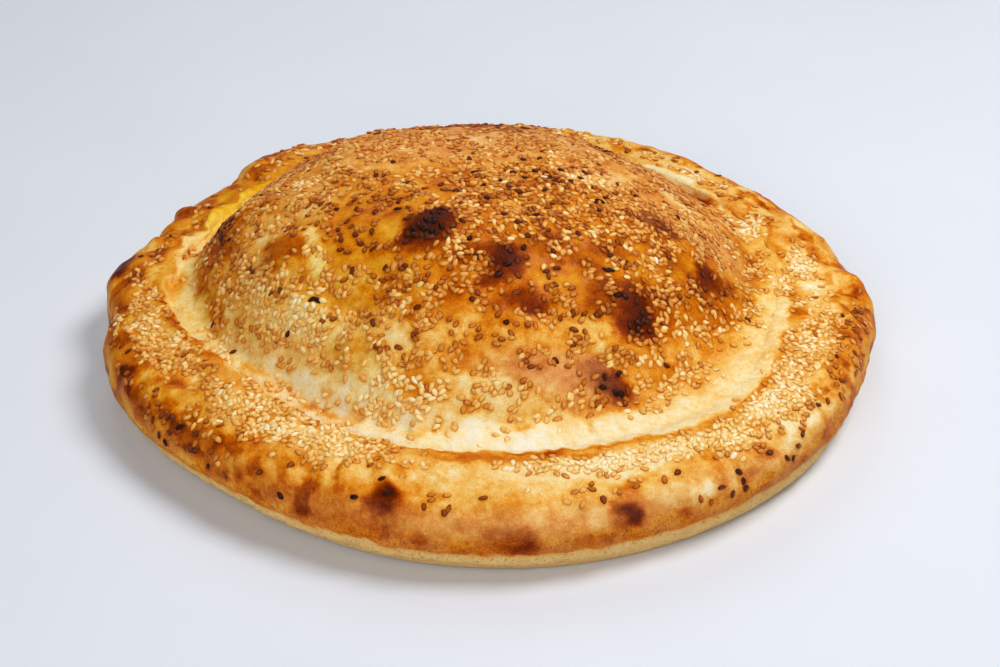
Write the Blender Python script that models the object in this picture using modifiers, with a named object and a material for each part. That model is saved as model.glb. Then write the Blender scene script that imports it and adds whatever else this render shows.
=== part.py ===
"""A round baked calzone with a thick rolled rim, a domed middle and sesame seeds on top.

Lengths are in metres, +Z is up and the origin is in the middle of the flat underside.
Angles go anticlockwise from +X, seen from above, and -Y is the front.
"""

import math
import random

import bmesh
import bpy
from mathutils import Matrix, Vector
from mathutils.bvhtree import BVHTree

# Driving dimensions of the dough.
OUTLINE_RADIUS = 0.1435  # widest part of the rim, before its lumps
LIP_RADIUS = 0.1175  # inner edge of the rolled rim
FOOT_RADIUS = 0.1065  # where the dome starts, inside the crease
RIM_HEIGHT = 0.0290
CREASE_HEIGHT = 0.0255
FOOT_STEP = 0.0012  # how much higher than the crease the dome starts
DOME_HEIGHT = 0.0740
DOME_FULLNESS = 2.7  # power of the dome's arch: higher is flatter on top and steeper at the foot
BULGE_HEIGHT = 0.0140  # height of the widest part of the rim
TURN_STEPS = 68

# Section of the rim from its lip, over the top and down to the underside: inset from the
# outline, and height.
RIM_SECTION = (
    (0.0330, CREASE_HEIGHT + 0.0005),
    (0.0300, CREASE_HEIGHT),
    (0.0283, 0.0276),
    (0.0260, RIM_HEIGHT),
    (0.0225, RIM_HEIGHT),
    (0.0165, 0.0283),
    (0.0090, 0.0266),
    (0.0037, 0.0236),
    (0.0008, 0.0193),
    (0.0000, BULGE_HEIGHT),
    (0.0009, 0.0095),
    (0.0023, 0.0062),
    (0.0033, 0.0045),
    (0.0043, 0.0021),
    (0.0075, 0.0000),
)
# The dome is cut into rings at these shares of its radius, closer where it is steep.
DOME_RINGS = (0.975, 0.94, 0.89, 0.83, 0.76, 0.67, 0.57, 0.46, 0.34, 0.21, 0.09, 0.0)
UNDERSIDE_RINGS = (0.095, 0.0)

# Broad swells and flats that the whole calzone follows: angle, spread in degrees, push
# outwards, push upwards.
SWELLS = (
    (228, 30, -0.0080, 0.0000),
    (42, 24, -0.0080, 0.0020),
    (160, 14, -0.0030, 0.0000),
    (315, 22, 0.0010, 0.0010),
    (122, 13, 0.0055, -0.0005),
)
# Lumps of the rim alone, in the same four values.
RIM_LUMPS = (
    (171, 5, 0.0040, 0.0010),
    (127, 6, 0.0020, 0.0020),
    (141, 6, -0.0040, 0.0000),
    (184, 7, -0.0020, 0.0000),
    (12, 6, -0.0020, 0.0000),
    (356, 7, 0.0030, -0.0010),
    (340, 12, 0.0000, 0.0010),
)
DOME_FOLLOWS = 0.5  # how much of a swell the dome's foot follows
# How the lip and the dome's foot wander: angle, spread in degrees, push outwards.
LIP_LUMPS = (
    (210, 30, -0.0050),
    (345, 30, -0.0055),
    (150, 22, 0.0045),
    (270, 30, -0.0040),
    (180, 15, 0.0040),
    (310, 20, 0.0045),
)
FOOT_LUMPS = (
    (285, 35, -0.0110),
    (345, 30, -0.0055),
    (158, 26, 0.0080),
    (218, 34, -0.0060),
    (30, 30, 0.0010),
)
# The edge of the underside is uneven outside this radius.
FLAT_RADIUS = 0.1180
# It curls off the table at the front left: angle, spread, height.
CURL = (232, 26, 0.0020)
# It rests on five places and is a little higher between them: their angles, half their
# width and the slope beside them in degrees, and the gap under the rest of the edge.
REST_ANGLES = (286, 350, 48, 122, 180)
REST_HALF_WIDTH = 3
REST_SLOPE = 16
REST_GAP = 0.0008

# Lumps of filling and blisters under the top crust: x, y, spread, height. They start at this
# share of the bulge's height.
LUMPS_FROM = 0.7
CRUST_LUMPS = (
    (-0.072, -0.036, 0.024, 0.0045),
    (-0.068, -0.021, 0.010, 0.0020),
    (-0.090, 0.016, 0.018, 0.0050),
    (-0.040, -0.050, 0.014, -0.0025),
    (-0.017, -0.032, 0.011, 0.0025),
    (0.008, -0.049, 0.010, 0.0020),
    (0.051, -0.057, 0.012, 0.0030),
    (0.043, -0.080, 0.011, 0.0028),
    (0.016, -0.080, 0.014, 0.0020),
    (0.030, -0.067, 0.009, -0.0020),
    (0.081, -0.029, 0.014, 0.0030),
    (0.063, -0.014, 0.012, 0.0022),
    (-0.050, 0.050, 0.024, 0.0035),
    (0.030, 0.062, 0.022, 0.0005),
    (0.080, 0.030, 0.018, -0.0020),
    (-0.010, 0.020, 0.020, -0.0015),
    (-0.080, 0.062, 0.014, 0.0025),
    (0.009, -0.139, 0.010, 0.0010),
    (0.047, -0.132, 0.008, 0.0012),
    (-0.033, -0.125, 0.007, 0.0010),
    (0.122, 0.034, 0.011, 0.0020),
    (0.110, 0.058, 0.009, -0.0015),
    (-0.124, 0.030, 0.009, 0.0018),
    (-0.118, 0.046, 0.008, -0.0015),
    (-0.096, 0.094, 0.012, 0.0020),
    (0.020, 0.128, 0.015, 0.0015),
)

# Sesame seeds, baked into the crust by their lower half: length, width and half thickness,
# how far the middle lies under the surface, and the least distance between two.
SEED_COUNT = 210
SEED_LENGTH = 0.0033
SEED_WIDTH = 0.0020
SEED_HALF_THICKNESS = 0.0010
SEED_SINK = 0.00015
SEED_SPACING = 0.0058
SEED_SEGMENTS = 6
SEED_RINGS = 4
SEED_TAPER = 0.45
SEED_DRAW = 41
SEED_EDGE_MARGIN = 0.004
SEED_LEAST_UP = 0.3  # no seed lies where the crust is steeper than this upward part of its normal
# Where the seeds lie thickest: x, y, spread, share.
SEED_PATCHES = (
    (-0.075, -0.040, 0.026, 1.0),
    (-0.092, 0.008, 0.020, 0.8),
    (-0.115, -0.020, 0.018, 0.9),
    (-0.104, -0.050, 0.016, 0.9),
    (-0.084, -0.068, 0.014, 0.9),
    (-0.055, -0.093, 0.014, 1.0),
    (-0.035, -0.103, 0.010, 0.9),
    (0.020, -0.113, 0.014, 0.7),
    (0.055, -0.108, 0.014, 1.0),
    (0.085, -0.100, 0.014, 1.0),
    (0.104, -0.077, 0.015, 1.0),
    (0.118, -0.045, 0.016, 0.9),
    (0.112, 0.022, 0.014, 0.5),
    (0.062, -0.040, 0.026, 0.8),
    (0.084, -0.010, 0.022, 0.8),
    (0.030, 0.000, 0.034, 0.8),
    (-0.020, -0.040, 0.040, 0.45),
    (-0.010, -0.080, 0.030, 0.45),
    (0.000, 0.060, 0.050, 0.6),
    (-0.060, 0.050, 0.034, 0.6),
)


def clear_scene():
    for thing in list(bpy.data.objects):
        bpy.data.objects.remove(thing)


def make_collection(name):
    collection = bpy.data.collections.new(name)
    bpy.context.scene.collection.children.link(collection)
    return collection


def bell(distance, spread):
    return math.exp(-((distance / spread) ** 2))


def bell_round(angle, centre, spread):
    """The same bell along the rim, with the angle in radians and the rest in degrees."""
    apart = (math.degrees(angle) - centre + 180) % 360 - 180
    return bell(apart, spread)


def ease(share):
    share = min(max(share, 0.0), 1.0)
    return share * share * (3 - 2 * share)


def push(angle, lumps, value=2):
    """What the listed lumps add at an angle; the value after angle and spread is the outward one."""
    return sum(lump[value] * bell_round(angle, lump[0], lump[1]) for lump in lumps)


def outline_at(angle):
    return OUTLINE_RADIUS + push(angle, SWELLS + RIM_LUMPS)


def rim_rise_at(angle):
    return push(angle, SWELLS + RIM_LUMPS, value=3)


def lip_at(angle):
    return LIP_RADIUS + push(angle, SWELLS + LIP_LUMPS)


def foot_at(angle):
    return FOOT_RADIUS + DOME_FOLLOWS * push(angle, SWELLS) + push(angle, FOOT_LUMPS)


def edge_gap_at(angle):
    """How high the edge of the underside stands off the table at an angle."""
    curl_angle, curl_spread, curl_height = CURL
    apart = min(abs((math.degrees(angle) - rest + 180) % 360 - 180) for rest in REST_ANGLES)
    between = ease((apart - REST_HALF_WIDTH) / REST_SLOPE)
    return REST_GAP * between + curl_height * bell_round(angle, curl_angle, curl_spread)


def turned_profile():
    """Points (radius, height) from the top of the dome, over the rim, to the underside's middle."""
    foot_height = CREASE_HEIGHT + FOOT_STEP
    points = []
    for share in reversed(DOME_RINGS):
        height = foot_height + (DOME_HEIGHT - foot_height) * (1 - share**DOME_FULLNESS)
        points.append((FOOT_RADIUS * share, height))
    points.append((FOOT_RADIUS, foot_height))
    points += [(OUTLINE_RADIUS - inset, height) for inset, height in RIM_SECTION]
    points += [(radius, 0.0) for radius in UNDERSIDE_RINGS]
    return points


def shaped(point):
    """Moves a point of the turned form to where the real, uneven dough has it."""
    radius = math.hypot(point.x, point.y)
    angle = math.atan2(point.y, point.x)
    outline, lip, foot = outline_at(angle), lip_at(angle), foot_at(angle)
    if point.z < 0.001 and radius < LIP_RADIUS:
        new_radius = radius
    elif radius >= LIP_RADIUS:
        share = (radius - LIP_RADIUS) / (OUTLINE_RADIUS - LIP_RADIUS)
        new_radius = lip + share * (outline - lip)
    elif radius >= FOOT_RADIUS:
        share = (radius - FOOT_RADIUS) / (LIP_RADIUS - FOOT_RADIUS)
        new_radius = foot + share * (lip - foot)
    else:
        new_radius = radius * foot / FOOT_RADIUS
    x = new_radius * math.cos(angle)
    y = new_radius * math.sin(angle)
    z = point.z

    near_rim = ease(2 * radius / FOOT_RADIUS - 1)
    z += rim_rise_at(angle) * near_rim * min(point.z / RIM_HEIGHT, 1.0)

    on_top = ease(point.z / BULGE_HEIGHT - LUMPS_FROM)
    for lump_x, lump_y, spread, height in CRUST_LUMPS:
        z += on_top * height * bell(math.hypot(x - lump_x, y - lump_y), spread)

    if point.z < BULGE_HEIGHT and radius > FLAT_RADIUS:
        z += edge_gap_at(angle) * (1 - point.z / BULGE_HEIGHT)
    return Vector((x, y, z))


def make_dough(collection, material):
    mesh = bpy.data.meshes.new("calzone_profile")
    profile = turned_profile()
    edges = [(index, index + 1) for index in range(len(profile) - 1)]
    mesh.from_pydata([(radius, 0.0, height) for radius, height in profile], edges, [])
    dough = bpy.data.objects.new("calzone", mesh)
    collection.objects.link(dough)

    screw = dough.modifiers.new("turn", "SCREW")
    screw.angle = 2 * math.pi
    screw.steps = TURN_STEPS
    screw.render_steps = TURN_STEPS
    screw.use_merge_vertices = True
    screw.merge_threshold = 0.00001
    apply_modifiers(dough)

    for vertex in dough.data.vertices:
        vertex.co = shaped(vertex.co)
    dough.data.materials.clear()
    dough.data.materials.append(material)
    return dough


def apply_modifiers(thing):
    """Replaces the object's mesh by what its modifiers make of it."""
    graph = bpy.context.evaluated_depsgraph_get()
    thing_now = thing.evaluated_get(graph)
    old = thing.data
    thing.data = bpy.data.meshes.new_from_object(thing_now)
    thing.modifiers.clear()
    bpy.data.meshes.remove(old)
    thing.data.name = thing.name


def seed_share(x, y):
    """How thickly the seeds lie at a place, from 0 to 1."""
    shares = (share * bell(math.hypot(x - px, y - py), spread) for px, py, spread, share in SEED_PATCHES)
    return min(sum(shares), 1.0)


def seed_places(dough):
    """Spots on the top of the crust, drawn by the patches and kept apart: place and outward normal."""
    shell = bmesh.new()
    shell.from_mesh(dough.data)
    tree = BVHTree.FromBMesh(shell)
    shell.free()
    draw = random.Random(SEED_DRAW)
    reach = OUTLINE_RADIUS - SEED_EDGE_MARGIN
    places = []
    while len(places) < SEED_COUNT:
        x = draw.uniform(-reach, reach)
        y = draw.uniform(-reach, reach)
        if math.hypot(x, y) > reach or draw.random() > seed_share(x, y):
            continue
        place, normal, _, _ = tree.ray_cast(Vector((x, y, 2 * DOME_HEIGHT)), Vector((0, 0, -1)))
        if place is None or place.z < BULGE_HEIGHT or normal.z < SEED_LEAST_UP:
            continue
        if all((place - other).length > SEED_SPACING for other, _ in places):
            places.append((place, normal))
    return places


def make_seed(name, place, normal, turn, collection, material):
    """A flat drop of a seed, laid on the crust and sunk a little into it."""
    seed = bmesh.new()
    bmesh.ops.create_uvsphere(seed, u_segments=SEED_SEGMENTS, v_segments=SEED_RINGS, radius=0.5)
    for vertex in seed.verts:
        taper = 1 - SEED_TAPER * vertex.co.x
        vertex.co.x *= SEED_LENGTH
        vertex.co.y *= SEED_WIDTH * taper
        vertex.co.z *= 2 * SEED_HALF_THICKNESS
    mesh = bpy.data.meshes.new(name)
    seed.to_mesh(mesh)
    seed.free()
    mesh.materials.append(material)
    thing = bpy.data.objects.new(name, mesh)
    lie = normal.to_track_quat("Z", "X").to_matrix().to_4x4()
    middle = place - normal * SEED_SINK
    thing.matrix_world = Matrix.Translation(middle) @ lie @ Matrix.Rotation(turn, 4, "Z")
    collection.objects.link(thing)
    return thing


def scatter_seeds(dough, collection, material):
    draw = random.Random(SEED_DRAW + 1)
    for number, (place, normal) in enumerate(seed_places(dough)):
        turn = draw.uniform(0, 2 * math.pi)
        make_seed(f"seed_{number:03d}", place, normal, turn, collection, material)


def fuse_seeds(dough, seeds):
    """Joins the seeds to the dough and removes them, and drops any scrap that isn't attached."""
    union = dough.modifiers.new("seeds", "BOOLEAN")
    union.operation = "UNION"
    union.operand_type = "COLLECTION"
    union.collection = seeds
    union.solver = "EXACT"
    apply_modifiers(dough)
    for thing in list(seeds.objects):
        bpy.data.objects.remove(thing)
    bpy.data.collections.remove(seeds)

    whole = bmesh.new()
    whole.from_mesh(dough.data)
    keep = joined_to(max(whole.verts, key=lambda vertex: vertex.co.z))
    scraps = [vertex for vertex in whole.verts if vertex not in keep]
    bmesh.ops.delete(whole, geom=scraps, context="VERTS")
    bmesh.ops.triangulate(whole, faces=whole.faces)
    whole.to_mesh(dough.data)
    whole.free()


def joined_to(start):
    """Every vertex that edges join to the first one."""
    found = {start}
    waiting = [start]
    while waiting:
        for edge in waiting.pop().link_edges:
            for vertex in edge.verts:
                if vertex not in found:
                    found.add(vertex)
                    waiting.append(vertex)
    return found


def make_material(name, colour, roughness):
    material = bpy.data.materials.new(name)
    material.use_nodes = True
    shader = material.node_tree.nodes["Principled BSDF"]
    shader.inputs["Base Color"].default_value = (*colour, 1.0)
    shader.inputs["Roughness"].default_value = roughness
    shader.inputs["Metallic"].default_value = 0.0
    return material


clear_scene()
calzone_parts = make_collection("calzone")
seed_parts = make_collection("seeds")
crust = make_material("baked_crust", (0.62, 0.27, 0.07), 0.5)
sesame = make_material("sesame_seed", (0.80, 0.52, 0.24), 0.5)

calzone = make_dough(calzone_parts, crust)
scatter_seeds(calzone, seed_parts, sesame)
fuse_seeds(calzone, seed_parts)
calzone.data.shade_smooth()
calzone.data.set_sharp_from_angle(angle=math.radians(35))
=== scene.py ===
"""A round baked calzone with a rolled rim and sesame seeds, dressed for its portrait.

Shapes are worked out in millimetres, +Z up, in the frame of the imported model. Angles go
anticlockwise from +X, seen from above, and -Y is the front.
"""

import math

import bpy
import numpy as np
from mathutils import Matrix, Vector, noise
from mathutils.kdtree import KDTree


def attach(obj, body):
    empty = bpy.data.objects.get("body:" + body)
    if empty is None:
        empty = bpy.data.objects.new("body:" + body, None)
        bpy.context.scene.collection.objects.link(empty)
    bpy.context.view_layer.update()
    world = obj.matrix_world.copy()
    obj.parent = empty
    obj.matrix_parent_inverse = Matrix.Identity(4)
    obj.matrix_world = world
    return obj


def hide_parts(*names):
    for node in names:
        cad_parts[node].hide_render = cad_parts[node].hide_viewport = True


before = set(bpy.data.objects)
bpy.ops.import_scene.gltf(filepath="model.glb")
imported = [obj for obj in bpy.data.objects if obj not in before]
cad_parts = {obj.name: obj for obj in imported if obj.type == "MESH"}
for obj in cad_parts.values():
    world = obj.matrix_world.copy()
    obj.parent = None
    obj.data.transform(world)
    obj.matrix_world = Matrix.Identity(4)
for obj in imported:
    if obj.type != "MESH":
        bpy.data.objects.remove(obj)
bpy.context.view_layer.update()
scene = bpy.context.scene
scene.view_settings.view_transform = "Standard"
MM = 0.001

# ---------------------------------------------------------------------------------------
# The camera stands 80 cm off, in front and above, and looks down on the calzone, as someone
# does who is about to eat it.
# ---------------------------------------------------------------------------------------
CAMERA_PLACE = Vector((6.0, -674.8, 424.3)) * MM
CAMERA_LOOKS_DOWN = math.radians(31.78)
CAMERA_ROLL = math.radians(-1.2)


def add_object(name, data):
    thing = bpy.data.objects.new(name, data)
    scene.collection.objects.link(thing)
    return thing


camera = add_object("camera", bpy.data.cameras.new("camera"))
camera.data.sensor_width = 36.0
camera.data.lens = 75.6
look = Matrix.Rotation(math.pi / 2 - CAMERA_LOOKS_DOWN, 4, "X")
camera.matrix_world = Matrix.Translation(CAMERA_PLACE) @ look @ Matrix.Rotation(CAMERA_ROLL, 4, "Z")
scene.camera = camera

# ---------------------------------------------------------------------------------------
# The crust: one round of yeast dough folded over a filling and rolled shut at the edge.
# Steam lifted the top into a dome, and the oven browned the egg-washed top, left the deep
# ring inside the rim pale and the floured foot dry and beige.
# ---------------------------------------------------------------------------------------

# The same driving dimensions as the solid that it replaces. A lump of the outline is its
# angle, its spread in degrees, how far it pushes out and, where it does, how far up. A lump
# of the crust is its place, its spread and its height.
OUTLINE_RADIUS = 143.5
LIP_RADIUS = 117.5
FOOT_RADIUS = 106.5
RIM_HEIGHT = 29.0
CREASE_HEIGHT = 25.5
FOOT_STEP = 1.2
DOME_HEIGHT = 74.0
DOME_FULLNESS = 2.7
BULGE_HEIGHT = 14.0
FLAT_RADIUS = 118.0
DOME_FOLLOWS = 0.5
LUMPS_FROM = 0.7
RIM_SECTION = (
    (33.0, 26.0), (30.0, 25.5), (28.3, 27.6), (26.0, 29.0), (22.5, 29.0),
    (16.5, 28.3), (9.0, 26.6), (3.7, 23.6), (0.8, 19.3), (0.0, 14.0),
    (0.9, 9.5), (2.3, 6.2), (3.3, 4.5), (4.3, 2.1), (7.5, 0.0),
)
SWELLS = (
    (228, 30, -8.0, 0.0), (42, 24, -8.0, 2.0), (160, 14, -3.0, 0.0), (315, 22, 1.0, 1.0),
    (122, 13, 5.5, -0.5),
)
RIM_LUMPS = (
    (171, 5, 4.0, 1.0), (127, 6, 2.0, 2.0), (141, 6, -4.0, 0.0), (184, 7, -2.0, 0.0),
    (12, 6, -2.0, 0.0), (356, 7, 3.0, -1.0), (340, 12, 0.0, 1.0),
)
LIP_LUMPS = (
    (210, 30, -5.0), (345, 30, -5.5), (150, 22, 4.5), (270, 30, -4.0), (180, 15, 4.0),
    (310, 20, 4.5),
)
FOOT_LUMPS = ((285, 35, -11.0), (345, 30, -5.5), (158, 26, 8.0), (218, 34, -6.0), (30, 30, 1.0))
CURL = (232, 26, 2.0)  # where the foot curls up off the table
# The underside stands on five rest places and is a little higher between them.
REST_ANGLES = (286, 350, 48, 122, 180)
REST_HALF_WIDTH = 3
REST_SLOPE = 16
REST_GAP = 0.8
CRUST_LUMPS = (
    (-72, -36, 24, 4.5), (-68, -21, 10, 2.0), (-90, 16, 18, 5.0), (-40, -50, 14, -2.5),
    (-17, -32, 11, 2.5), (8, -49, 10, 2.0), (51, -57, 12, 3.0), (43, -80, 11, 2.8),
    (16, -80, 14, 2.0), (30, -67, 9, -2.0), (81, -29, 14, 3.0), (63, -14, 12, 2.2),
    (-50, 50, 24, 3.5), (30, 62, 22, 0.5), (80, 30, 18, -2.0), (-10, 20, 20, -1.5),
    (-80, 62, 14, 2.5), (9, -139, 10, 1.0), (47, -132, 8, 1.2), (-33, -125, 7, 1.0),
    (122, 34, 11, 2.0), (110, 58, 9, -1.5), (-124, 30, 9, 1.8), (-118, 46, 8, -1.5),
    (-96, 94, 12, 2.0), (20, 128, 15, 1.5),
)


def ease(share):
    share = np.clip(share, 0.0, 1.0)
    return share * share * (3 - 2 * share)


def bell(distance, reach):
    return np.exp(-((distance / reach) ** 2))


def degrees_apart(angle, centre):
    return (np.degrees(angle) - centre + 180) % 360 - 180


def push(angle, lumps, value=2):
    """What the listed lumps add at an angle in radians."""
    return sum(lump[value] * bell(degrees_apart(angle, lump[0]), lump[1]) for lump in lumps)


def shaped(radius, height, angle):
    """Where the uneven dough has the points of the turned form, as in the solid."""
    outline = OUTLINE_RADIUS + push(angle, SWELLS + RIM_LUMPS)
    lip = LIP_RADIUS + push(angle, SWELLS + LIP_LUMPS)
    foot = FOOT_RADIUS + DOME_FOLLOWS * push(angle, SWELLS) + push(angle, FOOT_LUMPS)
    on_rim = lip + (radius - LIP_RADIUS) / (OUTLINE_RADIUS - LIP_RADIUS) * (outline - lip)
    in_ring = foot + (radius - FOOT_RADIUS) / (LIP_RADIUS - FOOT_RADIUS) * (lip - foot)
    in_dome = radius * foot / FOOT_RADIUS
    inside_lip = np.where(radius >= FOOT_RADIUS, in_ring, in_dome)
    new_radius = np.where(radius >= LIP_RADIUS, on_rim, inside_lip)
    underside = (height < 1) & (radius < LIP_RADIUS)
    new_radius = np.where(underside, radius, new_radius)
    x = new_radius * np.cos(angle)
    y = new_radius * np.sin(angle)
    rise = push(angle, SWELLS + RIM_LUMPS, value=3)
    z = height + rise * ease(2 * radius / FOOT_RADIUS - 1) * np.minimum(height / RIM_HEIGHT, 1)
    on_top = ease(height / BULGE_HEIGHT - LUMPS_FROM)
    for lump_x, lump_y, spread, lump_height in CRUST_LUMPS:
        z = z + on_top * lump_height * bell(np.hypot(x - lump_x, y - lump_y), spread)
    curl_angle, curl_spread, curl_height = CURL
    apart = np.min([np.abs(degrees_apart(angle, rest)) for rest in REST_ANGLES], axis=0)
    gap = REST_GAP * ease((apart - REST_HALF_WIDTH) / REST_SLOPE)
    gap = gap + curl_height * bell(degrees_apart(angle, curl_angle), curl_spread)
    near_table = (height < BULGE_HEIGHT) & (radius > FLAT_RADIUS)
    return x, y, z + np.where(near_table, gap * (1 - height / BULGE_HEIGHT), 0)


# The section is cut into steps of this length. Its rings have more vertices further out:
# from this radius, this many.
RING_STEP = 1.06
UNDERSIDE_STEP = 24.0
RING_COUNTS = ((0, 160), (36, 320), (74, 640))
DOME_SAMPLES = 2001
CORNER_SAMPLES = 60


def section_points():
    """The section from the top of the dome to the middle of the underside.

    Gives the radius, the height and the way along the section, counted from the crease.
    """
    share = np.linspace(0, 1, DOME_SAMPLES)
    foot_height = CREASE_HEIGHT + FOOT_STEP
    radius = share * FOOT_RADIUS
    height = foot_height + (DOME_HEIGHT - foot_height) * (1 - share**DOME_FULLNESS)
    corners = [Vector((OUTLINE_RADIUS - inset, z)) for inset, z in RIM_SECTION]
    before = [Vector((FOOT_RADIUS, foot_height))] + corners
    after = corners[1:] + [Vector((FLAT_RADIUS, 0))]
    rim = []
    for number, corner in enumerate(corners[:-1]):
        # A smooth curve through the corners.
        pull_out = (after[number] - before[number]) * 0.5
        pull_in = (after[number + 1] - before[number + 1]) * 0.5
        for t in np.linspace(0, 1, CORNER_SAMPLES, endpoint=False):
            place = corner * (2 * t**3 - 3 * t**2 + 1) + pull_out * (t**3 - 2 * t**2 + t)
            place += corners[number + 1] * (3 * t**2 - 2 * t**3) + pull_in * (t**3 - t**2)
            rim.append(tuple(place))
    rim.append(tuple(corners[-1]))
    rim = np.array(rim)
    radius = np.concatenate([radius, rim[:, 0]])
    height = np.maximum(np.concatenate([height, rim[:, 1]]), 0)
    length = np.concatenate([[0], np.cumsum(np.hypot(np.diff(radius), np.diff(height)))])
    crease = length[DOME_SAMPLES + CORNER_SAMPLES]  # the rim's second corner
    steps = np.linspace(0, length[-1], int(length[-1] / RING_STEP))
    radius, height, across = (
        np.interp(steps, length, values)[1:] for values in (radius, height, length - crease)
    )
    under = np.arange(radius[-1] - UNDERSIDE_STEP, UNDERSIDE_STEP / 2, -UNDERSIDE_STEP)
    across = np.concatenate([across, across[-1] + radius[-1] - under])
    radius = np.concatenate([radius, under])
    height = np.concatenate([height, 0 * under])
    return radius, height, across


def ring_faces(inner_start, inner_count, outer_start, outer_count):
    """Faces between two rings that follow each other, of which one may have double the vertices."""
    if inner_count == outer_count:
        turn = [(i, (i + 1) % inner_count) for i in range(inner_count)]
        return [(inner_start + i, outer_start + i, outer_start + j, inner_start + j) for i, j in turn]
    faces = []
    for i in range(min(inner_count, outer_count)):
        j = (i + 1) % min(inner_count, outer_count)
        fine = [2 * i, 2 * i + 1, (2 * i + 2) % max(inner_count, outer_count)]
        if outer_count > inner_count:
            a, b = inner_start + i, inner_start + j
            p, q, r = (outer_start + k for k in fine)
            faces += [(a, p, q), (a, q, b), (b, q, r)]
        else:
            a, b = outer_start + i, outer_start + j
            p, q, r = (inner_start + k for k in fine)
            faces += [(a, q, p), (a, b, q), (b, r, q)]
    return faces


ring_radius, ring_height, ring_across = section_points()
ring_counts = [max((n for start, n in RING_COUNTS if radius >= start)) for radius in ring_radius]
ring_starts = np.concatenate([[1], 1 + np.cumsum(ring_counts)])
radius = np.concatenate([[0.0], np.repeat(ring_radius, ring_counts), [0.0]])
height = np.concatenate([[DOME_HEIGHT], np.repeat(ring_height, ring_counts), [0.0]])
across = np.concatenate([[-200.0], np.repeat(ring_across, ring_counts), [200.0]])
angle = np.concatenate([[0.0], *[np.arange(n) * 2 * math.pi / n for n in ring_counts], [0.0]])
crust_faces = [(0, 1 + i, 1 + (i + 1) % ring_counts[0]) for i in range(ring_counts[0])]
for number in range(len(ring_counts) - 1):
    starts, counts = ring_starts[number : number + 2], ring_counts[number : number + 2]
    crust_faces += ring_faces(int(starts[0]), counts[0], int(starts[1]), counts[1])
last_start, last_count = int(ring_starts[-2]), ring_counts[-1]
foot_middle = len(radius) - 1
for i in range(last_count):
    crust_faces.append((last_start + i, foot_middle, last_start + (i + 1) % last_count))

crust_mesh = bpy.data.meshes.new("calzone_crust")
places = np.stack(shaped(radius, height, angle), axis=1)
crust_mesh.from_pydata(places * MM, [], crust_faces)
crust_mesh.update()


def normals_of(mesh):
    values = np.empty(len(mesh.vertices) * 3, np.float32)
    mesh.vertex_normals.foreach_get("vector", values)
    return values.reshape(-1, 3).astype(float)


def crumpled(points, size, octaves, seed):
    """Fractal noise from about -1 to 1, with features of this size in millimetres."""
    shift = Vector((seed, 2 * seed, -seed))
    return np.array([noise.fractal(Vector(p) / size + shift, 1.0, 2.0, octaves) for p in points])


STROKE_CRISP = 1.4
MARK_CRISP = 2.0


def stroke_weight(x, y, stroke, crisp=STROKE_CRISP):
    """How much a brush stroke covers each place, full in the middle and softer at its edge."""
    stroke_x, stroke_y, half_length, half_width, turn = stroke[:5]
    c, s = math.cos(math.radians(turn)), math.sin(math.radians(turn))
    along = ((x - stroke_x) * c + (y - stroke_y) * s) / half_length
    aside = ((y - stroke_y) * c - (x - stroke_x) * s) / half_width
    return np.exp(-((along**2 + aside**2) ** crisp))


# Unevenness that the hand and the steam left: lumps of filling, then smaller dents, the
# pebbled skin and the knobs of the rim, each as its size and its height.
ROLLING = (27.0, 0.8)
DENTS = (9.0, 0.6)
PEBBLES = (3.2, 0.2)
RIM_KNOBS = (14.0, 1.3)
# Folds and strokes of the brush wander by two noises: the size of each, and how far.
WANDER = (11.0, 2.0)
SMALL_WANDER = (3.6, 0.9)
MARK_WANDER = 0.8
FOLD_WANDER = (1.7, 0.9)
# Folds and wrinkles of the top crust, seen from above: the ends of each, its half width and
# how far it stands up, or sinks where the number is negative.
WRINKLES = (
    (-62, -40, -44, -56, 4, -1), (-46, -66, -30, -60, 1.5, 0.6), (-40, -74, -20, -66, 1.5, 0.6),
    (-30, -82, -8, -72, 1.4, -0.5), (-14, -68, -4, -60, 1.5, 0.5), (26, -64, 34, -72, 1.5, 0.6),
    (34, -72, 52, -72, 1.6, 0.7), (30, -76, 44, -77, 1.3, -0.6), (-104, -2, -99, -28, 1.6, -0.8),
    (-101, 4, -96, -20, 1.6, 0.6), (-97, -30, -90, -44, 1.6, -0.6), (34, -88, 35, -98, 1, -0.6),
    (-22, -92, -20, -100, 1.2, 0.5), (58, -76, 70, -66, 2, 0.5), (86, -44, 96, -30, 2.4, 0.5),
    (-86, -54, -70, -66, 2.2, 0.7), (30, 60, 52, 56, 16, -1.6), (40, 118, 66, 104, 8, 1.2),
    (40, 70, 70, 50, 3, -0.8), (-60, 72, -30, 84, 3, 0.8), (-20, 88, 14, 90, 2.5, -0.7),
    (98, 70, 112, 58, 3, 1.4), (119, 25, 131, 18, 2.6, 1.4), (127, 6, 139, 0, 4.5, 1.4),
    (124, -7, 141, -8, 2, -1.4), (116, 44, 129, 36, 2.2, -1.4), (103, -50, 112, -22, 5, 0.3),
    (-113, -54, -99, -60, 2.4, -1.3), (-108, -66, -94, -68, 3, 1), (-112, -18, -98, -48, 2, 1),
    (-112, 34, -126, 38, 2.6, 1.5), (-108, 60, -122, 66, 3.4, 1.8),
    (-116, 50, -130, 54, 2.4, -1.8), (-124, 31, -137, 31, 2, -1.6),
    (-92, 84, -104, 92, 2.6, -1.6), (-46, -106, -50, -119, 1.4, -1),
    (-42, -107, -46, -119, 1.6, 0.7), (-28, -121, -14, -124, 5, 0.9),
)
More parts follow.
